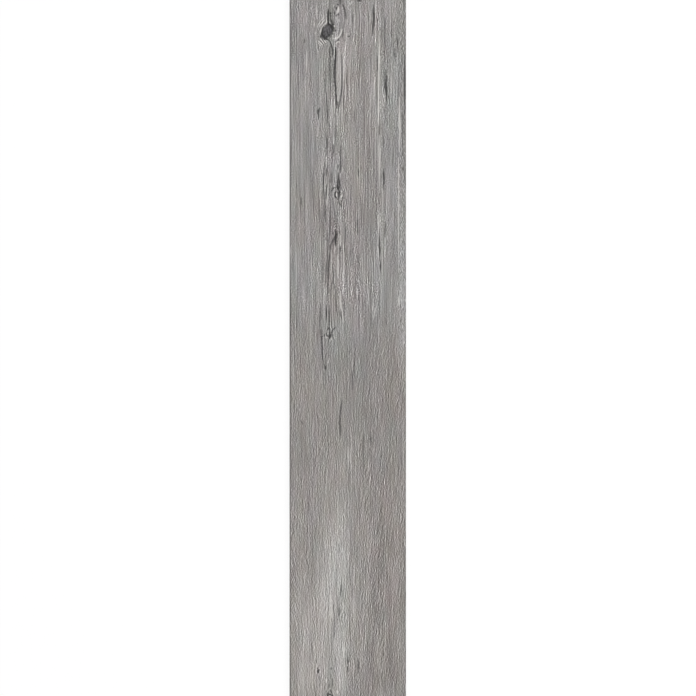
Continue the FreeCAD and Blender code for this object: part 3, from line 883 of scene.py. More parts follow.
# The two soft lights, in metres, and the camera's small slide to the right, which frames the
# plank as the photograph does
KEY_PLACE = (3.0, 0.6, 3.2)
KEY_SIZE = 2.4
FILL_PLACE = (-3.0, -0.4, 3.6)
FILL_SIZE = 3.0
CAMERA_SLIDE = 0.0004
CAMERA_REACH = 60.0


class PlankShape(PropertyGroup):
    """Sizes of the fired plank that its packed box doesn't give."""

    face_bevel: FloatProperty(
        name="Face bevel", description="45 degree bevel round the printed face",
        default=0.0008, min=0.0, unit="LENGTH",
    )
    back_arris: FloatProperty(
        name="Back arris", description="Eased edge round the back", default=0.0005, min=0.0, unit="LENGTH"
    )
    border_land: FloatProperty(
        name="Border land", description="Plain land from the edge to the first field of the back",
        default=0.008, min=0.0, unit="LENGTH",
    )
    rib_land: FloatProperty(
        name="Rib land", description="Flat of a rib of the back", default=0.003, min=0.0, unit="LENGTH"
    )
    field_columns: IntProperty(
        name="Fields across", description="Fields of the back across the plank", default=8, min=1
    )
    field_rows: IntProperty(
        name="Fields along", description="Fields of the back along the plank", default=50, min=1
    )
    field_depth: FloatProperty(
        name="Field depth", description="From the ribs' flats to the floor of a field",
        default=0.0006, min=0.0, unit="LENGTH",
    )
    column_pitch: FloatProperty(
        name="Column pitch", description="Spacing of the face's points across the plank",
        default=0.00112, unit="LENGTH",
    )
    row_pitch: FloatProperty(
        name="Row pitch", description="Spacing of the face's points along the plank",
        default=0.0033, unit="LENGTH",
    )


class FaceRelief(PropertyGroup):
    """Depths of the brushed relief, all of them down from the top of the plank."""

    face_drop: FloatProperty(
        name="Face drop", description="Mean depth of the face under its highest fibres",
        default=0.00020, unit="LENGTH",
    )
    fibre_depth: FloatProperty(
        name="Fibre depth", description="Height of a brushed fibre over the groove beside it",
        default=0.00022, unit="LENGTH",
    )
    crack_depth: FloatProperty(
        name="Crack depth", description="Depth of a full crack", default=0.00055, unit="LENGTH"
    )
    line_depth: FloatProperty(
        name="Line depth", description="Depth of a full grain line", default=0.00022, unit="LENGTH"
    )
    knot_depth: FloatProperty(
        name="Knot depth", description="Depth of the groove round the large knot",
        default=0.00040, unit="LENGTH",
    )


class PrintColours(PropertyGroup):
    """Colours of the print, the fired body and the powder on its back."""

    lightness: FloatProperty(
        name="Lightness", description="Mean lightness of the print in display units",
        default=0.517, min=0.0, max=1.0,
    )
    contrast: FloatProperty(
        name="Contrast", description="Contrast of the printed fibres", default=1.0, min=0.0
    )
    tint: FloatVectorProperty(
        name="Tint", description="Mean change of the print from neutral grey, in display units", size=3,
        default=(0.0098, -0.0019, -0.0110),
    )
    brown: FloatVectorProperty(
        name="Towards brown", description="Change of tint from a mean fibre to a brown one", size=3,
        default=(0.0056, -0.0005, -0.0061),
    )
    pink: FloatVectorProperty(
        name="Towards pink", description="Change of tint from a mean fibre to a pink one", size=3,
        default=(0.0021, -0.0040, 0.0021),
    )
    crack: FloatVectorProperty(
        name="Crack", description="Colour of a full crack", subtype="COLOR", size=3,
        default=(0.016, 0.015, 0.015),
    )
    knot: FloatVectorProperty(
        name="Knot", description="Colour of the large knot's heart", subtype="COLOR", size=3,
        default=(0.083, 0.079, 0.084),
    )
    pale: FloatVectorProperty(
        name="Pale fibre", description="Colour of a full pale fibre", subtype="COLOR", size=3,
        default=(0.66, 0.635, 0.61),
    )
    body: FloatVectorProperty(
        name="Fired body", description="Colour of the ground sides and the back", subtype="COLOR", size=3,
        default=(0.43, 0.405, 0.37),
    )
    powder: FloatVectorProperty(
        name="Kiln powder", description="Colour of the powder on the ribs of the back",
        subtype="COLOR", size=3, default=(0.62, 0.61, 0.59),
    )


class StudioSetup(PropertyGroup):
    """Floor, lights and camera."""

    floor_size: FloatProperty(
        name="Floor size", description="Side of the square floor", default=24.0, unit="LENGTH"
    )
    floor_glow: FloatProperty(
        name="Floor white", description="Share of plain white in the floor as the camera sees it",
        default=0.89, min=0.0, max=1.0,
    )
    sky: FloatProperty(
        name="Sky", description="Strength of the even light from all round", default=0.66, min=0.0
    )
    key_power: FloatProperty(
        name="Key power", description="Power of the soft light at the right",
        default=100.0, unit="POWER",
    )
    fill_power: FloatProperty(
        name="Fill power", description="Power of the soft light at the left",
        default=38.0, unit="POWER",
    )
    lens: FloatProperty(name="Lens", description="Focal length in millimetres", default=200.0)
    framed_length: FloatProperty(
        name="Framed length", description="Length of the plank that fills the picture's height",
        default=1.1950, unit="LENGTH",
    )


def smooth_step(share):
    """3 s^2 - 2 s^3, with s held between 0 and 1."""
    held = np.clip(share, 0.0, 1.0)
    return held * held * (3.0 - 2.0 * held)


def fibre_noise(u, v, width, length, seed):
    """Random heights from -1 to 1 on fibres of one width.

    Each fibre has a new height every length and is slid along by its own random amount, and
    heights are joined with a smooth step both along and across.
    """
    random = np.random.default_rng(seed)
    fibres, knots = 509, 257
    heights = random.uniform(-1.0, 1.0, (fibres, knots))
    slides = random.uniform(0.0, knots, fibres)
    across = u / width
    first = np.floor(across).astype(int)
    blend_across = smooth_step(across - first)
    total = 0.0
    for step, weight in ((0, 1.0 - blend_across), (1, blend_across)):
        fibre = (first + step) % fibres
        along = v / length + slides[fibre]
        start = np.floor(along).astype(int)
        blend_along = smooth_step(along - start)
        height = heights[fibre, start % knots] * (1.0 - blend_along)
        height = height + heights[fibre, (start + 1) % knots] * blend_along
        total = total + height * weight
    return total


def stroke_ramp(across, down, stroke):
    """1 - distance / half width from the nearest part of the stroke's line."""
    ramp = np.full_like(across, RAMP_OUTSIDE)
    for (a0, d0, w0), (a1, d1, w1) in zip(stroke.points, stroke.points[1:]):
        run_a = a1 - a0
        run_d = d1 - d0
        share = ((across - a0) * run_a + (down - d0) * run_d) / (run_a**2 + run_d**2)
        share = np.clip(share, 0.0, 1.0)
        gap = np.hypot(across - a0 - share * run_a, down - d0 - share * run_d)
        ramp = np.maximum(ramp, 1.0 - gap / (w0 + share * (w1 - w0)))
    return ramp


def strokes_field(across, down, strokes, sharpness):
    """Greatest value of strength times the lesser of 1 and sharpness times ramp, over some strokes.

    It is 0 on a stroke's edge and goes on falling outside, down to FIELD_OUTSIDE.
    """
    field = np.full_like(across, FIELD_OUTSIDE)
    for stroke in strokes:
        ramp = stroke_ramp(across, down, stroke)
        field = np.maximum(field, stroke.strength * np.minimum(ramp * sharpness, 1.0))
    return field


def knot_distance(across, down, knot):
    """Distance from a knot's middle in its own half sizes, so that 1 is its rim."""
    fall = down - knot.down
    return np.hypot((across - knot.across + knot.lean * fall) / knot.half_width, fall / knot.half_length)


def fibre_across(across, down):
    """Fibre coordinate across the plank.

    It is the place across, less a flow round each knot, where the line that would run at an
    offset from the knot's middle is pushed out by that offset over the squared distance. A slow
    wave keeps the fibres from running dead straight.
    """
    flow = across.copy()
    for knot in KNOTS:
        distance = np.maximum(knot_distance(across, down, knot), 1.0)
        flow -= knot.push * (across - knot.across) / distance**2
    wave = 1.1 * fibre_noise(across, down, 46.0, 170.0, 11)
    return flow + wave + 0.3 * fibre_noise(across, down, 14.0, 60.0, 12)


def band(value, start, end):
    """Smooth change from 0 at start to 1 at end."""
    return smooth_step((value - start) / (end - start))


def closeness(across, down, place):
    """1 in the middle of a place of the print, falling off smoothly by its own half sizes."""
    along_width = (across - place.across) / place.half_width
    along_length = (down - place.down) / place.half_length
    return np.exp(-(along_width**2 + along_length**2))


def face_pattern(across, down):
    """Everything the face's material and relief need, as arrays over the given places."""
    down = (down - MARKS_TOP) * PLANK_LENGTH / MARKS_LENGTH
    wander = 0.32 * fibre_noise(across, down, 5.0, 24.0, 21) + 0.18 * fibre_noise(across, down, 3.0, 12.0, 22)
    near = across + wander
    flow = fibre_across(across, down)
    oak = band(down + 18.0 * fibre_noise(across, down, 26.0, 90.0, 23), *BRUSHED_FROM)
    crack = strokes_field(near, down, CRACKS, 2.2)
    line = strokes_field(near, down, GRAIN_LINES, 2.0)
    pale = strokes_field(near, down, PALE_FIBRES, 1.9)
    smudge = smooth_step(strokes_field(near, down, SMUDGES, 1.0))

    large = KNOTS[0]
    ragged = 0.09 * fibre_noise(across, down, 2.6, 3.4, 24) + 0.07 * fibre_noise(across, down, 1.4, 2.4, 25)
    rim = knot_distance(across, down, large) + ragged
    heart = 1.0 - band(rim, 0.88, 1.04)
    ring = 0.60 * band(rim, 0.74, 0.92) * (1.0 - band(rim, 0.98, 1.12))

    lighter = np.zeros_like(across)
    warmer = np.zeros_like(across)
    for patch in PATCHES:
        share = closeness(across, down, patch)
        lighter += patch.lighter * share
        warmer += patch.warmer * share
    pinker = np.zeros_like(across)
    for place in PINK_PLACES:
        pinker += place.pinker * closeness(across, down, place)
    low = band(down, *LOW_THIRD_FROM)
    bold = 1.0 - 0.21 * oak * (1.0 - low) - 0.10 * low
    for place in BOLD_PLACES:
        bold += place.bolder * closeness(across, down, place)
    whitish = np.zeros_like(across)
    for place in FLECKED_PLACES:
        whitish += place.share * closeness(across, down, place)

    # Painted shade along the two long edges and their bevels: the glaze darkens over the outer 3 mm or so,
    # more at the left, which faces away from the key light.
    from_right = PLANK_WIDTH - across
    edge = 0.52 * (1.0 - band(across, 1.4, 2.9)) + 0.22 * (1.0 - band(from_right, 1.4, 3.4))

    brushed = 0.62 * fibre_noise(flow, down, 3.3, 60.0, 31) + 0.38 * fibre_noise(flow, down, 2.1, 24.0, 32)
    lean = band(across + 8.0 * fibre_noise(across, down, 30.0, 60.0, 36), 104.0, 142.0)
    slant = (1.0 - band(across, 9.0, 27.0)) * band(down, 900.0, 985.0) * (1.0 - band(down, 1100.0, 1160.0))
    clouded = 0.45 + 0.75 * (1.0 - band(down, 520.0, 640.0)) + 1.35 * band(down, 860.0, 980.0)
    leaning_left = flow - 0.16 * down
    leaning_right = flow + 0.10 * down
    combed = (1.0 - lean) * fibre_noise(leaning_left, down, 2.2, 13.0, 33)
    combed += lean * fibre_noise(leaning_right, down, 2.2, 13.0, 34)
    fibre = brushed * (1.0 - oak) + combed * oak
    strayed = across + 3.0 * fibre_noise(across, down, 9.0, 30.0, 35)
    rough = (0.45 * band(strayed, 156.0, 172.0) + 0.55 * band(strayed, 184.0, 189.0)) * (1.0 - 0.6 * oak)
    return {
        "flow": flow,
        "oak": oak,
        "lean": lean,
        "slant": slant,
        "bold": np.clip(bold, 0.3, 1.9),
        "whitish": np.clip(whitish, 0.0, 1.0),
        "clouded": clouded,
        "crack": crack,
        "line": line,
        "pale": pale,
        "smudge": smudge,
        "heart": heart,
        "ring": ring,
        "lighter": lighter,
        "warmer": np.clip(warmer, -1.0, 1.0),
        "pinker": np.clip(pinker, -1.2, 1.2),
        "edge": edge,
        "fibre": fibre,
        "rough": rough,
    }


def face_depth(pattern, relief):
    """Depth of the face under the top plane in millimetres: mean drop, less the fibres and pale
    ridges, plus cracks, lines and the groove round the large knot."""
    depth = relief.face_drop - 0.5 * relief.fibre_depth * pattern["fibre"] * (1.0 - pattern["heart"])
    pale, crack, line = (np.maximum(pattern[name], 0.0) for name in ("pale", "crack", "line"))
    depth = depth - 0.5 * relief.line_depth * pale + relief.crack_depth * crack + relief.line_depth * line
    depth = depth + relief.knot_depth * pattern["ring"] + 0.35 * relief.knot_depth * pattern["heart"]
    return np.maximum(depth, 0.0) / MM


def graded_stations(length, pitch, fine_bands):
    """Places from 0 to length, a pitch apart and closer inside the fine bands.

    A band is start, end and pitch. The count of places is the integral of one over the pitch,
    and the places are found by inverting that integral.
    """
    sample = np.linspace(0.0, length, 6001)
    spacing = np.full_like(sample, pitch)
    for start, end, fine in fine_bands:
        inside = band(sample, start - 6.0, start) * (1.0 - band(sample, end, end + 6.0))
        spacing = np.minimum(spacing, pitch + (fine - pitch) * inside)
    rate = 1.0 / spacing
    counted = np.concatenate(([0.0], np.cumsum(0.5 * (rate[1:] + rate[:-1]) * np.diff(sample))))
    steps = int(math.ceil(counted[-1]))
    return np.interp(np.linspace(0.0, counted[-1], steps + 1), counted, sample)


def rectangle_loop(columns, rows):
    """Indices round the outside of a grid of columns by rows, anticlockwise from the top left."""
    last_column = columns - 1
    last_row = rows - 1
    return np.concatenate((
        np.arange(last_row) * columns,
        last_row * columns + np.arange(last_column),
        (last_row - np.arange(last_row)) * columns + last_column,
        last_column - np.arange(last_column),
    ))


def loop_places(stations_across, stations_down):
    """How far round each point of that loop lies, each side of the plank counting as 1."""
    right = (stations_across - stations_across[0]) / np.ptp(stations_across)
    fall = (stations_down - stations_down[0]) / np.ptp(stations_down)
    return np.concatenate((fall[:-1], 1.0 + right[:-1], 3.0 - fall[:0:-1], 4.0 - right[:0:-1]))


def grid_quads(columns, rows):
    """Faces of a grid whose rows run down the plank, facing up."""
    corner = (np.arange(rows - 1)[:, None] * columns + np.arange(columns - 1)[None, :]).ravel()
    return np.stack((corner, corner + columns, corner + columns + 1, corner + 1), axis=1)


def ring_quads(upper, lower):
    """Faces between two closed loops with the same count of points."""
    return np.stack((upper, lower, np.roll(lower, -1), np.roll(upper, -1)), axis=1)


def zip_loops(upper, upper_places, lower, lower_places):
    """Triangles between two closed loops with different counts of points.

    Each step along one loop takes, as its third corner, the point of the other loop that as
    many of that loop's step middles lie before.
    """
    upper_middles = upper_places + 0.5 * np.diff(np.append(upper_places, 4.0))
    lower_middles = lower_places + 0.5 * np.diff(np.append(lower_places, 4.0))
    lower_apex = lower[np.searchsorted(lower_middles, upper_middles) % len(lower)]
    upper_apex = upper[np.searchsorted(upper_middles, lower_middles) % len(upper)]
    hanging = np.stack((upper, lower_apex, np.roll(upper, -1)), axis=1)
    standing = np.stack((lower, np.roll(lower, -1), upper_apex), axis=1)
    return np.concatenate((hanging, standing))


def back_lines(length, border, land, count, depth):
    """Lines of the back across one way, and whether each lies on a floor.

    From the edge they go mouth, floor, floor, mouth for each field, with 45 degree walls.
    """
    pitch = (length - 2.0 * border + land) / count
    mouths = border + pitch * np.arange(count)
    lines = np.stack((mouths, mouths + depth, mouths + pitch - land - depth, mouths + pitch - land), axis=1)
    floors = np.tile(np.array([False, True, True, False]), count)
    return lines.ravel(), floors


class PlankMesh:
    """Points, faces and face groups of the plank, in millimetres from its top left corner."""

    def __init__(self, shape, relief):
        self.bevel = shape.face_bevel / MM
        self.arris = shape.back_arris / MM
        self.columns = graded_stations(
            PLANK_WIDTH - 2.0 * self.bevel, shape.column_pitch / MM, ((50.0, 92.0, 0.75),)
        ) + self.bevel
        self.rows = graded_stations(
            PLANK_LENGTH - 2.0 * self.bevel, shape.row_pitch / MM,
            (
                (14.0, 90.0, 1.6), (188.0, 200.0, 2.0), (308.0, 356.0, 1.9), (400.0, 424.0, 2.2),
                (562.0, 588.0, 1.9), (1046.0, 1064.0, 2.4), (1148.0, 1164.0, 1.7), (1188.0, 1200.0, 1.8),
            ),
        ) + self.bevel
        self.points = []
        self.faces = []
        self.groups = []
        self.count = 0
        bevel_loop = self.add_face(relief)
        self.add_sides_and_back(shape, bevel_loop)

    def add_points(self, across, down, depth):
        """Adds points and returns their indices."""
        start = self.count
        self.points.append(np.stack((across, down, depth), axis=1))
        self.count += len(across)
        return np.arange(start, self.count)

    def add_faces(self, faces, group):
        """Adds faces, as rows of indices, to a group: face, bevel, side or back."""
        self.faces.append(faces)
        self.groups.append(np.full(len(faces), group))

    def add_face(self, relief):
        """The printed face as a height field, and the bevel that its rim runs out on. It returns
        the loop at the bevel's foot."""
        across, down = np.meshgrid(self.columns, self.rows)
        depth = face_depth(face_pattern(across, down), relief)
        columns = len(self.columns)
        rows = len(self.rows)
        outline = rectangle_loop(columns, rows)
        rim_across = across.ravel()[outline]
        rim_down = down.ravel()[outline]
        # The rim slides down the 45 degree bevel by its own depth, so it moves out as far.
        across[:, 0] -= depth[:, 0]
        across[:, -1] += depth[:, -1]
        down[0, :] -= depth[0, :]
        down[-1, :] += depth[-1, :]
        grid = self.add_points(across.ravel(), down.ravel(), depth.ravel())
        self.add_faces(grid_quads(columns, rows) + grid[0], "face")
        foot = self.add_rim(rim_across, rim_down, self.bevel, self.bevel)
        self.add_faces(ring_quads(grid[outline], foot), "bevel")
        return foot

    def add_rim(self, across, down, inset, depth):
        """A loop scaled about the plank's middle from an inset out to the sides, at one depth."""
        wide = (PLANK_WIDTH / 2.0) / (PLANK_WIDTH / 2.0 - inset)
        long = (PLANK_LENGTH / 2.0) / (PLANK_LENGTH / 2.0 - inset)
        across = PLANK_WIDTH / 2.0 + (across - PLANK_WIDTH / 2.0) * wide
        down = PLANK_LENGTH / 2.0 + (down - PLANK_LENGTH / 2.0) * long
        return self.add_points(across, down, np.full(len(across), depth))

    def add_sides_and_back(self, shape, bevel_loop):
        """Ground sides, the arris round the back, and the ribbed back itself."""
        field = shape.field_depth / MM
        lines = []
        for length, count in ((PLANK_WIDTH, shape.field_columns), (PLANK_LENGTH, shape.field_rows)):
            inner, on_floor = back_lines(
                length, shape.border_land / MM, shape.rib_land / MM, count, field
            )
            places = np.concatenate(([self.arris], inner, [length - self.arris]))
            lines.append((places, np.concatenate(([False], on_floor, [False]))))
        (across_lines, across_floors), (down_lines, down_floors) = lines
        across, down = np.meshgrid(across_lines, down_lines)
        floor = (across_floors[None, :] & down_floors[:, None]).ravel()
        depth = np.where(floor, PLANK_THICKNESS - field, PLANK_THICKNESS)
        back = self.add_points(across.ravel(), down.ravel(), depth)
        columns = len(across_lines)
        rows = len(down_lines)
        quads = grid_quads(columns, rows)
        # A quad with one corner on a floor is split from that corner, so that the edge between
        # its two faces runs down the field's corner.
        raised = floor[quads]
        corner = raised.sum(axis=1) == 1
        turn = (np.argmax(raised[corner], axis=1)[:, None] + np.arange(4)[None, :]) % 4
        split = np.take_along_axis(quads[corner], turn, axis=1)
        self.add_faces(quads[~corner][:, ::-1] + back[0], "back")
        self.add_faces(split[:, [0, 2, 1]] + back[0], "back")
        self.add_faces(split[:, [0, 3, 2]] + back[0], "back")
        outline = rectangle_loop(columns, rows)
        arris_loop = self.add_rim(
            across.ravel()[outline], down.ravel()[outline], self.arris, PLANK_THICKNESS - self.arris
        )
        self.add_faces(ring_quads(arris_loop, back[outline]), "back")
        upper_places = loop_places(self.columns, self.rows)
        lower_places = loop_places(across_lines, down_lines)
        self.add_faces(zip_loops(bevel_loop, upper_places, arris_loop, lower_places), "side")

    def places(self):
        """All points in metres in the row's frame."""
        points = np.concatenate(self.points)
        x = PLANK_LOW[0] + points[:, 0] * MM
        y = PLANK_HIGH[1] - points[:, 1] * MM
        z = PLANK_HIGH[2] - points[:, 2] * MM
        return np.stack((x, y, z), axis=1)


# Where each part of the surface lies in the plank's own map: left, right, bottom and top, with
# the plank's length running from left to right
MAP_PLACES = {
    "face": (0.004, 0.996, 0.004, 0.724),
    "back": (0.004, 0.996, 0.734, 0.934),
    "left": (0.004, 0.996, 0.940, 0.952),
    "right": (0.004, 0.996, 0.957, 0.969),
    "top": (0.004, 0.404, 0.974, 0.986),
    "bottom": (0.504, 0.904, 0.974, 0.986),
}


def map_points(points, corners, groups):
    """Place of each face corner in the map: length from left to right and width, or height of a
    side, from bottom to top, each as a share of its own span."""
    across, down, depth = points[corners].T
    share_across = across / PLANK_WIDTH
    share_down = down / PLANK_LENGTH
    share_depth = depth / PLANK_THICKNESS
    spans = {
        "face": (share_down, share_across),
        "bevel": (share_down, share_across),
        "back": (share_down, share_across),
        "left": (share_down, share_depth),
        "right": (share_down, share_depth),
        "top": (share_across, share_depth),
        "bottom": (share_across, share_depth),
    }
    places = np.zeros((len(corners), 2))
    for group, (along, over) in spans.items():
        left, right, bottom, top = MAP_PLACES["face" if group == "bevel" else group]
        chosen = groups == group
        places[chosen, 0] = left + (right - left) * along[chosen]
        places[chosen, 1] = bottom + (top - bottom) * over[chosen]
    return places


def side_groups(points, faces):
    """Which side of the plank each side face lies on, from its middle."""
    middle = points[faces].mean(axis=1)
    across, down = middle[:, 0], middle[:, 1]
    gaps = np.stack((across, PLANK_WIDTH - across, down, PLANK_LENGTH - down))
    return np.array(("left", "right", "top", "bottom"))[np.argmin(gaps, axis=0)]


def mesh_from_plank(plank):
    """Blender mesh of the plank, with its map and its smooth face, and the plank's points in millimetres."""
    points = np.concatenate(plank.points)
    groups = [
        side_groups(points, faces) if group[0] == "side" else group
        for faces, group in zip(plank.faces, plank.groups)
    ]
    face_groups = np.concatenate(groups)
    sizes = np.concatenate([np.full(len(faces), faces.shape[1]) for faces in plank.faces])
    corners = np.concatenate([faces.ravel() for faces in plank.faces])
    starts = np.concatenate(([0], np.cumsum(sizes)[:-1]))
    mesh = bpy.data.meshes.new("fired_plank")
    mesh.vertices.add(len(points))
    mesh.loops.add(len(corners))
    mesh.polygons.add(len(sizes))
    mesh.vertices.foreach_set("co", plank.places().astype(np.float32).ravel())
    mesh.loops.foreach_set("vertex_index", corners.astype(np.int32))
    mesh.polygons.foreach_set("loop_start", starts.astype(np.int32))
    mesh.polygons.foreach_set("use_smooth", face_groups == "face")
    printed = (face_groups == "face") | (face_groups == "bevel")
    mesh.polygons.foreach_set("material_index", np.where(printed, 0, 1).astype(np.int32))
    mesh.update(calc_edges=True)
    if mesh.validate():
        raise RuntimeError("The plank's mesh had faults")
    layer = mesh.uv_layers.new(name="OFBake")
    places = map_points(points, corners, np.repeat(face_groups, sizes))
    layer.uv.foreach_set("vector", places.astype(np.float32).ravel())
    return mesh, points


def write_print_values(mesh, points):
    """Stores the print's fields on the mesh's points for the glaze to read."""
    pattern = face_pattern(points[:, 0], points[:, 1])
    grain = np.stack((pattern.pop("flow") * MM, points[:, 1] * MM, np.zeros(len(points))), axis=1)
    attribute = mesh.attributes.new("grain", "FLOAT_VECTOR", "POINT")
    attribute.data.foreach_set("vector", grain.astype(np.float32).ravel())
    for name, values in pattern.items():
        attribute = mesh.attributes.new(name, "FLOAT", "POINT")
        attribute.data.foreach_set("value", values.astype(np.float32))


class NodeBench:
    """Adds nodes to one material or world and wires them up."""

    def __init__(self, owner):
        owner.use_nodes = True
        self.tree = owner.node_tree
        self.tree.nodes.clear()

    def node(self, kind, inputs, **settings):
        """A node with its settings, and its inputs linked or set."""
        node = self.tree.nodes.new(kind)
        node.location = (220 * (len(self.tree.nodes) // 8), -180 * (len(self.tree.nodes) % 8))
        for name, value in settings.items():
            setattr(node, name, value)
        for key, value in inputs.items():
            if isinstance(value, bpy.types.NodeSocket):
                self.tree.links.new(value, node.inputs[key])
            else:
                node.inputs[key].default_value = value
        return node

    def math(self, operation, *values, clamp=False):
        """Result of a Math node over numbers or sockets."""
        inputs = dict(enumerate(values))
        return self.node("ShaderNodeMath", inputs, operation=operation, use_clamp=clamp).outputs[0]

    def total(self, *values):
        """Sum of numbers or sockets."""
        result = values[0]
        for value in values[1:]:
            result = self.math("ADD", result, value)
        return result

    def times(self, *values):
        """Product of numbers or sockets."""
        result = values[0]
        for value in values[1:]:
            result = self.math("MULTIPLY", result, value)
        return result

    def blend(self, share, start, end):
        """start + share (end - start) for numbers."""
        return self.node("ShaderNodeMix", {0: share, 2: start, 3: end}, data_type="FLOAT").outputs[0]

    def blend_colours(self, share, start, end, blend_type="MIX"):
        """Mix of two colours."""
        inputs = {0: share, 6: start, 7: end}
        return self.node("ShaderNodeMix", inputs, data_type="RGBA", blend_type=blend_type).outputs[2]

    def stored(self, name):
        """One of the mesh's own values."""
        return self.node("ShaderNodeAttribute", {}, attribute_name=name).outputs["Fac"]

    def stretched_noise(self, place, width, length, detail, shift):
        """Noise from about -1 to 1 whose cells are width by length in metres, from a shifted start."""
        cell = self.node(
            "ShaderNodeVectorMath", {0: place, 1: (1.0 / width, 1.0 / length, 1.0), 2: (shift, shift, 0.0)},
            operation="MULTIPLY_ADD",
        ).outputs[0]
        noise = self.node(
            "ShaderNodeTexNoise", {"Vector": cell, "Scale": 1.0, "Detail": detail, "Roughness": 0.5},
            noise_dimensions="2D",
        ).outputs["Fac"]
        return self.math("MULTIPLY_ADD", noise, NOISE_GAIN, -0.5 * NOISE_GAIN)

    def combed_noise(self, place, width, length, shift):
        """Noise with a light and a dark side to each fibre: its value half a fibre to the right, less
        its value half a fibre to the left."""
        right = self.stretched_noise(place, width, length, 0.0, shift)
        left = self.stretched_noise(self.slid(place, COMB_GAP * width), width, length, 0.0, shift)
        return self.math("SUBTRACT", right, left)

    def slid(self, place, distance):
        """Place moved across by a number or a socket."""
        slide = self.node("ShaderNodeCombineXYZ", {0: distance}).outputs[0]
        return self.node("ShaderNodeVectorMath", {0: place, 1: slide}, operation="ADD").outputs[0]

    def wavy(self, place, width, length, sway, shift):
        """Place moved across by up to about sway metres, by noise of width by length cells."""
        noise = self.stretched_noise(place, width, length, 0.0, shift)
        return self.slid(place, self.math("MULTIPLY", noise, sway))

    def uneven(self, place, width, length, mean, change, least, shift):
        """Strength that varies over width by length cells: mean + change times noise, and least at least."""
        noise = self.stretched_noise(place, width, length, 1.0, shift)
        return self.math("MAXIMUM", self.math("MULTIPLY_ADD", noise, change, mean), least)

    def ridges(self, place, pitch, width, length, shift):
        """Sine of the place across over a pitch, its phase shifted by noise of width by length cells."""
        across = self.node("ShaderNodeSeparateXYZ", {0: place}).outputs["X"]
        noise = self.stretched_noise(place, width, length, 0.0, shift)
        phase = self.math("MULTIPLY", noise, RIDGE_SWAY)
        return self.math("SINE", self.math("MULTIPLY_ADD", across, 2.0 * math.pi / pitch, phase))

    def leaning(self, place, slope):
        """Place moved across by a slope times the way down."""
        down = self.node("ShaderNodeSeparateXYZ", {0: place}).outputs["Y"]
        return self.slid(place, self.math("MULTIPLY", down, slope))

    def grey_colour(self, value):
        """Colour with one value in all its channels."""
        return self.node("ShaderNodeCombineXYZ", {0: value, 1: value, 2: value}).outputs[0]

    def scaled_and_added(self, colour, value, start):
        """Colour times one value, plus a start colour."""
        inputs = {0: colour, 1: self.grey_colour(value), 2: start}
        return self.node("ShaderNodeVectorMath", inputs, operation="MULTIPLY_ADD").outputs[0]

    def ceramic_surface(self, colour, roughness, height):
        """Plain ceramic surface with fine relief, its height in millimetres, as the output."""
        bump = self.node(
            "ShaderNodeBump", {"Strength": 1.0, "Distance": BUMP_UNIT, "Height": height}
        ).outputs[0]
        surface = self.node("ShaderNodeBsdfPrincipled", {
            "Base Color": colour, "Roughness": roughness, "Normal": bump, "IOR": CERAMIC_IOR,
            "Specular IOR Level": CERAMIC_SPECULAR,
        })
        self.node("ShaderNodeOutputMaterial", {"Surface": surface.outputs[0]})


# In the noises below, a width and a length are in metres. The number that ends a noise only
# picks another stretch of it, and the factor after it is its strength in display units.
def weathered_fibres(bench, grain):
    """Upper half: long straight fibres of weathered softwood, some strong and some faint."""
    swayed = bench.wavy(bench.wavy(grain, 0.012, 0.060, 0.0005, 5.0), 0.006, 0.018, 0.00025, 9.0)
    strong = bench.uneven(swayed, 0.0050, 0.060, 0.80, 0.84, 0.18, 27.0)
    long_fibres = bench.total(
        bench.times(bench.combed_noise(swayed, 0.00115, 0.100, 13.0), 0.092),
        bench.times(bench.combed_noise(swayed, 0.0011, 0.026, 15.0), 0.068),
        bench.times(bench.stretched_noise(swayed, 0.0030, 0.110, 0.0, 23.0), 0.050),
        bench.times(bench.ridges(swayed, 0.0048, 0.012, 0.140, 17.0), 0.034),
    )
    patchy = bench.uneven(grain, 0.012, 0.040, 0.85, 0.70, 0.25, 29.0)
    short_fibres = bench.total(
        bench.times(bench.combed_noise(swayed, 0.0011, 0.0110, 19.0), 0.066),
        bench.times(bench.combed_noise(grain, 0.0011, 0.0032, 25.0), 0.082),
        bench.times(bench.stretched_noise(grain, 0.0020, 0.0019, 0.0, 26.0), 0.070),
    )
    return bench.total(bench.times(long_fibres, strong), bench.times(short_fibres, patchy))


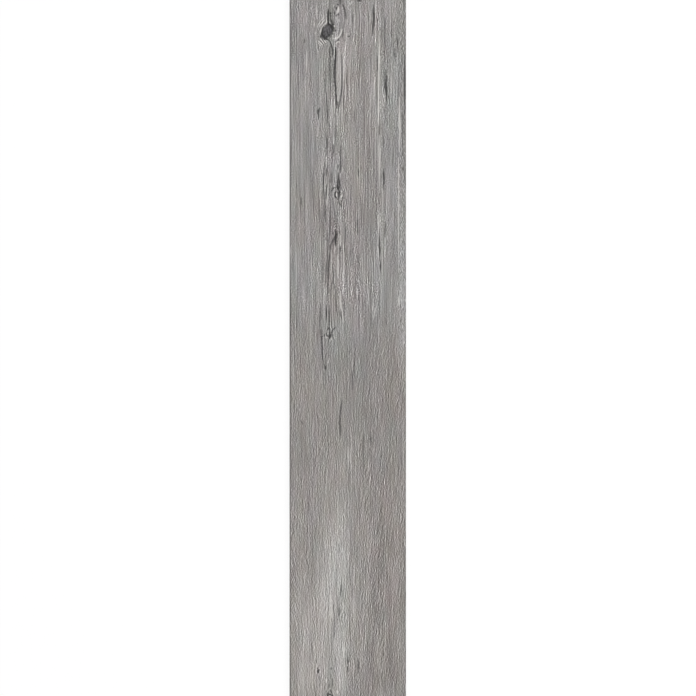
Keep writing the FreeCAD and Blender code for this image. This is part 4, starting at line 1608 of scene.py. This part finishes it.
def brushed_fibres(bench, grain, lean):
    """Lower half: short fibres that sway together, more in some places than in others. They are
    upright at the left, lean a little at the right, and lean the other way by the left edge."""
    restless = bench.uneven(grain, 0.034, 0.080, 0.62, 0.55, 0.10, 61.0)
    sides = []
    for slope, shift in ((0.0, 41.0), (0.09, 53.0)):
        leaning = bench.leaning(grain, slope)
        slow = bench.wavy(leaning, 0.016, 0.024, bench.times(restless, 0.0013), shift)
        swayed = bench.wavy(slow, 0.008, 0.010, bench.times(restless, 0.0008), shift + 3.0)
        sides.append(bench.total(
            bench.times(bench.combed_noise(swayed, 0.00115, 0.022, shift + 5.0), 0.076),
            bench.times(bench.combed_noise(swayed, 0.0010, 0.060, shift + 7.0), 0.044),
            bench.times(bench.combed_noise(swayed, 0.0010, 0.0095, shift + 11.0), 0.084),
            bench.times(bench.ridges(swayed, 0.0045, 0.011, 0.050, shift + 13.0), 0.054),
        ))
    # A half and half mix of two noises is weaker than either, so it is made up for.
    middle = bench.times(lean, bench.math("SUBTRACT", 1.0, lean))
    made_up = bench.math("MULTIPLY_ADD", middle, 1.60, 1.0)
    upright = bench.times(bench.blend(lean, sides[0], sides[1]), made_up)
    slanted = bench.leaning(grain, -0.24)
    slanting = bench.total(
        bench.times(bench.combed_noise(slanted, 0.0012, 0.024, 71.0), 0.115),
        bench.times(bench.combed_noise(slanted, 0.0010, 0.0085, 73.0), 0.080),
    )
    fibres = bench.blend(bench.stored("slant"), upright, slanting)
    grit = bench.times(bench.combed_noise(grain, 0.0011, 0.0040, 79.0), 0.084)
    strength = bench.uneven(grain, 0.014, 0.034, 0.98, 0.30, 0.45, 67.0)
    return bench.times(bench.total(fibres, grit), strength)


def print_tint(bench, grain, colours):
    """Tint of the print in display units: its mean, moved towards brown and pink by slow noises."""
    brown = bench.total(
        bench.times(bench.stored("warmer"), 0.85),
        bench.math("MULTIPLY_ADD", bench.stored("oak"), 0.85, -0.40),
        bench.times(bench.stretched_noise(grain, 0.028, 0.130, 0.0, 97.0), 0.40),
        bench.times(bench.stretched_noise(grain, 0.014, 0.030, 0.0, 103.0), 0.46),
    )
    # Long strips with rather sharp edges
    strips = bench.stretched_noise(grain, 0.017, 0.260, 0.0, 131.0)
    strips = bench.math("MULTIPLY_ADD", strips, 1.6, 0.5, clamp=True)
    pink = bench.total(
        bench.times(bench.stretched_noise(grain, 0.026, 0.080, 0.0, 107.0), 0.42),
        bench.math("MULTIPLY_ADD", strips, 0.60, -0.30), bench.stored("pinker"),
        bench.times(bench.stretched_noise(grain, 0.013, 0.026, 0.0, 113.0), 0.55),
        bench.times(bench.stored("warmer"), 0.30),
    )
    tint = bench.scaled_and_added(colours.brown, brown, colours.tint)
    return bench.scaled_and_added(colours.pink, pink, tint)


def glaze_material(colours):
    """Matte glaze with the printed wood: fibres, tints, cracks, lines and pale fibres."""
    material = bpy.data.materials.new("printed_wood_glaze")
    bench = NodeBench(material)
    grain = bench.node("ShaderNodeAttribute", {}, attribute_name="grain").outputs["Vector"]
    heart = bench.stored("heart")
    crack_colour = (*colours.crack, 1.0)

    weathered = weathered_fibres(bench, grain)
    brushed = brushed_fibres(bench, grain, bench.stored("lean"))
    curly = bench.wavy(grain, 0.0060, 0.0080, 0.0011, 85.0)
    rubbed = bench.total(
        bench.times(bench.combed_noise(curly, 0.0012, 0.0090, 89.0), 0.100),
        bench.times(bench.combed_noise(curly, 0.0011, 0.0040, 93.0), 0.070),
        bench.times(bench.stretched_noise(curly, 0.0030, 0.0090, 1.0, 91.0), 0.040),
    )
    fibres = bench.blend(bench.stored("oak"), weathered, brushed)
    fibres = bench.blend(bench.times(bench.stored("rough"), 0.85), fibres, rubbed)
    fibres = bench.times(fibres, bench.stored("bold"))
    clouds = bench.total(
        bench.times(bench.stretched_noise(grain, 0.0070, 0.100, 1.0, 33.0), 0.020),
        bench.times(bench.stretched_noise(grain, 0.0240, 0.230, 0.0, 31.0), 0.020),
    )
    soft_lines = bench.times(bench.stretched_noise(grain, 0.0034, 0.060, 0.0, 37.0), 0.024)
    broad = bench.total(bench.times(clouds, bench.stored("clouded")), soft_lines)
    grit = bench.stretched_noise(grain, 0.0015, 0.0018, 0.0, 83.0)
    flecks = bench.stretched_noise(grain, 0.0024, 0.0052, 1.0, 137.0)
    flecks = bench.math("MULTIPLY_ADD", flecks, 1.6, -0.30, clamp=True)
    # Painted highlight beside each crack: the fibres there are made lighter, as if they stood up a little and
    # caught the light.
    beside = bench.math("ABSOLUTE", bench.math("ADD", bench.stored("crack"), 0.30))
    lip = bench.math("MULTIPLY_ADD", beside, -4.0, 1.0, clamp=True)
    lightness = bench.total(
        colours.lightness, bench.times(fibres, colours.contrast), broad, bench.times(lip, 0.055),
        bench.times(bench.stored("fibre"), 0.018), bench.stored("lighter"), bench.times(grit, 0.040),
        bench.times(flecks, bench.stored("whitish"), 0.150),
    )
    grey = bench.grey_colour(bench.math("MAXIMUM", lightness, DARKEST_PRINT))
    tint = print_tint(bench, grain, colours)
    tinted = bench.node("ShaderNodeVectorMath", {0: grey, 1: tint}, operation="ADD").outputs[0]
    colour = bench.node("ShaderNodeGamma", {"Color": tinted, "Gamma": DISPLAY_GAMMA}).outputs[0]

    # Marks, with edges broken up by fine noise
    place = bench.node("ShaderNodeTexCoord", {}).outputs["Object"]
    ragged = bench.times(bench.stretched_noise(place, 0.0013, 0.0044, 1.0, 109.0), 0.16)
    pale = bench.math("ADD", bench.stored("pale"), ragged, clamp=True)
    colour = bench.blend_colours(pale, colour, (*colours.pale, 1.0))
    uneven = bench.math("MULTIPLY_ADD", ragged, 2.0, 1.0)
    smudge = bench.math("MULTIPLY", bench.stored("smudge"), uneven, clamp=True)
    colour = bench.blend_colours(smudge, colour, crack_colour)
    line = bench.math("ADD", bench.stored("line"), ragged, clamp=True)
    colour = bench.blend_colours(line, colour, crack_colour)

    # The large knot: a violet grey heart in a dark broken ring
    speckle = bench.stretched_noise(bench.leaning(place, -0.30), 0.0022, 0.0050, 1.0, 127.0)
    heart_grey = bench.grey_colour(bench.math("MULTIPLY_ADD", speckle, 0.80, 0.95))
    heart_colour = bench.blend_colours(1.0, heart_grey, (*colours.knot, 1.0), "MULTIPLY")
    colour = bench.blend_colours(heart, colour, heart_colour)
    broken = bench.math("MULTIPLY_ADD", speckle, -0.60, 0.80)
    ring = bench.math("MULTIPLY", bench.stored("ring"), broken, clamp=True)
    colour = bench.blend_colours(ring, colour, crack_colour)
    crack = bench.math("ADD", bench.stored("crack"), ragged, clamp=True)
    colour = bench.blend_colours(crack, colour, crack_colour)
    # Painted shade along the long edges and their bevels, darker at the left, away from the key light
    colour = bench.blend_colours(bench.stored("edge"), colour, crack_colour)

    # Fine relief in millimetres over the modelled one
    height = bench.total(bench.times(fibres, 0.30), bench.times(grit, 0.010))
    roughness = bench.math("MULTIPLY_ADD", fibres, -0.5, 0.60, clamp=True)
    bench.ceramic_surface(colour, roughness, height)
    return material


def body_material(colours):
    """Unglazed fired body: fine speckle, marks of the grinding wheel along the sides, and a dust
    of kiln powder on the ribs, which are the lowest part of the back."""
    material = bpy.data.materials.new("fired_body")
    bench = NodeBench(material)
    place = bench.node("ShaderNodeTexCoord", {}).outputs["Object"]
    split = bench.node("ShaderNodeSeparateXYZ", {0: place})
    speckle = bench.node(
        "ShaderNodeTexNoise", {"Vector": place, "Scale": 1900.0, "Detail": 2.0, "Roughness": 0.6}
    ).outputs["Fac"]
    clouds = bench.node(
        "ShaderNodeTexNoise", {"Vector": place, "Scale": 22.0, "Detail": 3.0}
    ).outputs["Fac"]
    # On a long side x is fixed and on a short one y is, so their sum runs along every side.
    along = bench.math("ADD", split.outputs["X"], split.outputs["Y"])
    wheel = bench.node("ShaderNodeCombineXYZ", {0: along, 1: split.outputs["Z"]}).outputs[0]
    marks = bench.stretched_noise(wheel, 0.018, 0.00022, 2.0, 7.0)

    speck = bench.math("MULTIPLY_ADD", speckle, 0.34, 0.83)
    clouded = bench.math("MULTIPLY_ADD", clouds, 0.16, -0.08)
    shade = bench.grey_colour(bench.total(speck, clouded, bench.times(marks, 0.025)))
    colour = bench.blend_colours(1.0, shade, (*colours.body, 1.0), "MULTIPLY")
    low = bench.node(
        "ShaderNodeMapRange", {0: split.outputs["Z"], 1: 0.00012, 2: 0.00002, 3: 0.0, 4: 1.0}
    ).outputs[0]
    dusted = bench.math("MULTIPLY_ADD", clouds, 3.2, -1.05, clamp=True)
    powder = bench.times(low, dusted, 0.72)
    colour = bench.blend_colours(powder, colour, (*colours.powder, 1.0))

    height = bench.total(bench.times(speckle, 0.020), bench.times(marks, 0.010))
    roughness = bench.math("MULTIPLY_ADD", speckle, 0.20, 0.62)
    bench.ceramic_surface(colour, roughness, height)
    return material


class PLANK_OT_fired_plank(Operator):
    """Build the fired plank with its printed face, ground sides and ribbed back"""

    bl_idname = "plank.fired_plank"
    bl_label = "Fired plank"

    def execute(self, context):
        scene = context.scene
        plank = PlankMesh(scene.plank_shape, scene.plank_relief)
        mesh, points = mesh_from_plank(plank)
        write_print_values(mesh, points)
        mesh.materials.append(glaze_material(scene.plank_colours))
        mesh.materials.append(body_material(scene.plank_colours))
        piece = bpy.data.objects.new("fired_plank", mesh)
        scene.collection.objects.link(piece)
        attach(piece, "root")
        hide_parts("plank_tile")
        return {"FINISHED"}


def white_to_the_eye(bench):
    """1 for rays from the camera, off a glossy surface or through glass, and else 0."""
    path = bench.node("ShaderNodeLightPath", {})
    seen = bench.math("MAXIMUM", path.outputs["Is Camera Ray"], path.outputs["Is Glossy Ray"])
    return bench.math("MAXIMUM", seen, path.outputs["Is Transmission Ray"])


def floor_material(studio):
    """Pale matte floor, whitened for the eye by a share of plain white, so that it keeps shadows."""
    material = bpy.data.materials.new("pale_floor")
    bench = NodeBench(material)
    pale = (FLOOR_SHADE, FLOOR_SHADE, FLOOR_SHADE, 1.0)
    matte = bench.node("ShaderNodeBsdfDiffuse", {"Color": pale}).outputs[0]
    white = bench.node("ShaderNodeEmission", {"Color": WHITE, "Strength": 1.0}).outputs[0]
    share = bench.math("MULTIPLY", white_to_the_eye(bench), studio.floor_glow)
    mixed = bench.node("ShaderNodeMixShader", {0: share, 1: matte, 2: white}).outputs[0]
    bench.node("ShaderNodeOutputMaterial", {"Surface": mixed})
    return material


def soft_light(name, place, power, size, scene):
    """Square area light at a place, aimed at the plank's middle."""
    lamp = bpy.data.lights.new(name, "AREA")
    lamp.shape = "SQUARE"
    lamp.size = size
    lamp.energy = power
    light = bpy.data.objects.new(name, lamp)
    x, y, z = place
    light.location = place
    light.rotation_euler = (math.atan2(math.hypot(x, y), z), 0.0, math.atan2(y, x) + math.pi / 2.0)
    scene.collection.objects.link(light)


class PLANK_OT_studio(Operator):
    """Set up the floor, the soft lights and the camera that looks straight down"""

    bl_idname = "plank.studio"
    bl_label = "Studio"

    def execute(self, context):
        scene = context.scene
        studio = scene.plank_studio
        half = studio.floor_size / 2.0
        corners = [(-half, -half, 0.0), (half, -half, 0.0), (half, half, 0.0), (-half, half, 0.0)]
        mesh = bpy.data.meshes.new("studio_floor")
        mesh.from_pydata(corners, [], [(0, 1, 2, 3)])
        mesh.materials.append(floor_material(studio))
        floor = bpy.data.objects.new("studio_floor", mesh)
        scene.collection.objects.link(floor)

        world = bpy.data.worlds.new("studio_sky")
        scene.world = world
        bench = NodeBench(world)
        strength = bench.blend(white_to_the_eye(bench), studio.sky, 1.0)
        sky = bench.node("ShaderNodeBackground", {"Color": WHITE, "Strength": strength}).outputs[0]
        bench.node("ShaderNodeOutputWorld", {"Surface": sky})

        soft_light("key_light", KEY_PLACE, studio.key_power, KEY_SIZE, scene)
        soft_light("fill_light", FILL_PLACE, studio.fill_power, FILL_SIZE, scene)

        lens = bpy.data.cameras.new("studio_camera")
        lens.lens = studio.lens
        lens.clip_end = CAMERA_REACH
        camera = bpy.data.objects.new("studio_camera", lens)
        above = studio.lens / lens.sensor_width * studio.framed_length
        camera.location = (CAMERA_SLIDE, 0.0, PLANK_HIGH[2] + above)
        scene.collection.objects.link(camera)
        scene.camera = camera
        scene.view_settings.view_transform = "Standard"
        return {"FINISHED"}


class VIEW3D_PT_plank_tile(Panel):
    """Sizes, colours and pieces of the plank tile"""

    bl_label = "Plank tile"
    bl_idname = "VIEW3D_PT_plank_tile"
    bl_space_type = "VIEW_3D"
    bl_region_type = "UI"
    bl_category = "Plank tile"

    def draw(self, context):
        layout = self.layout
        for operator in OPERATORS:
            layout.operator(operator.bl_idname)
        for name in GROUPS:
            settings = getattr(context.scene, name)
            box = layout.box()
            for field in settings.__annotations__:
                box.prop(settings, field)


GROUPS = {
    "plank_shape": PlankShape,
    "plank_relief": FaceRelief,
    "plank_colours": PrintColours,
    "plank_studio": StudioSetup,
}
OPERATORS = (PLANK_OT_fired_plank, PLANK_OT_studio)


def register():
    for name, group in GROUPS.items():
        bpy.utils.register_class(group)
        setattr(bpy.types.Scene, name, PointerProperty(type=group))
    for operator in OPERATORS:
        bpy.utils.register_class(operator)
    bpy.utils.register_class(VIEW3D_PT_plank_tile)


def unregister():
    bpy.utils.unregister_class(VIEW3D_PT_plank_tile)
    for operator in reversed(OPERATORS):
        bpy.utils.unregister_class(operator)
    for name, group in reversed(GROUPS.items()):
        delattr(bpy.types.Scene, name)
        bpy.utils.unregister_class(group)


def main():
    register()
    bpy.ops.plank.fired_plank()
    bpy.ops.plank.studio()


if __name__ == "__main__":
    main()
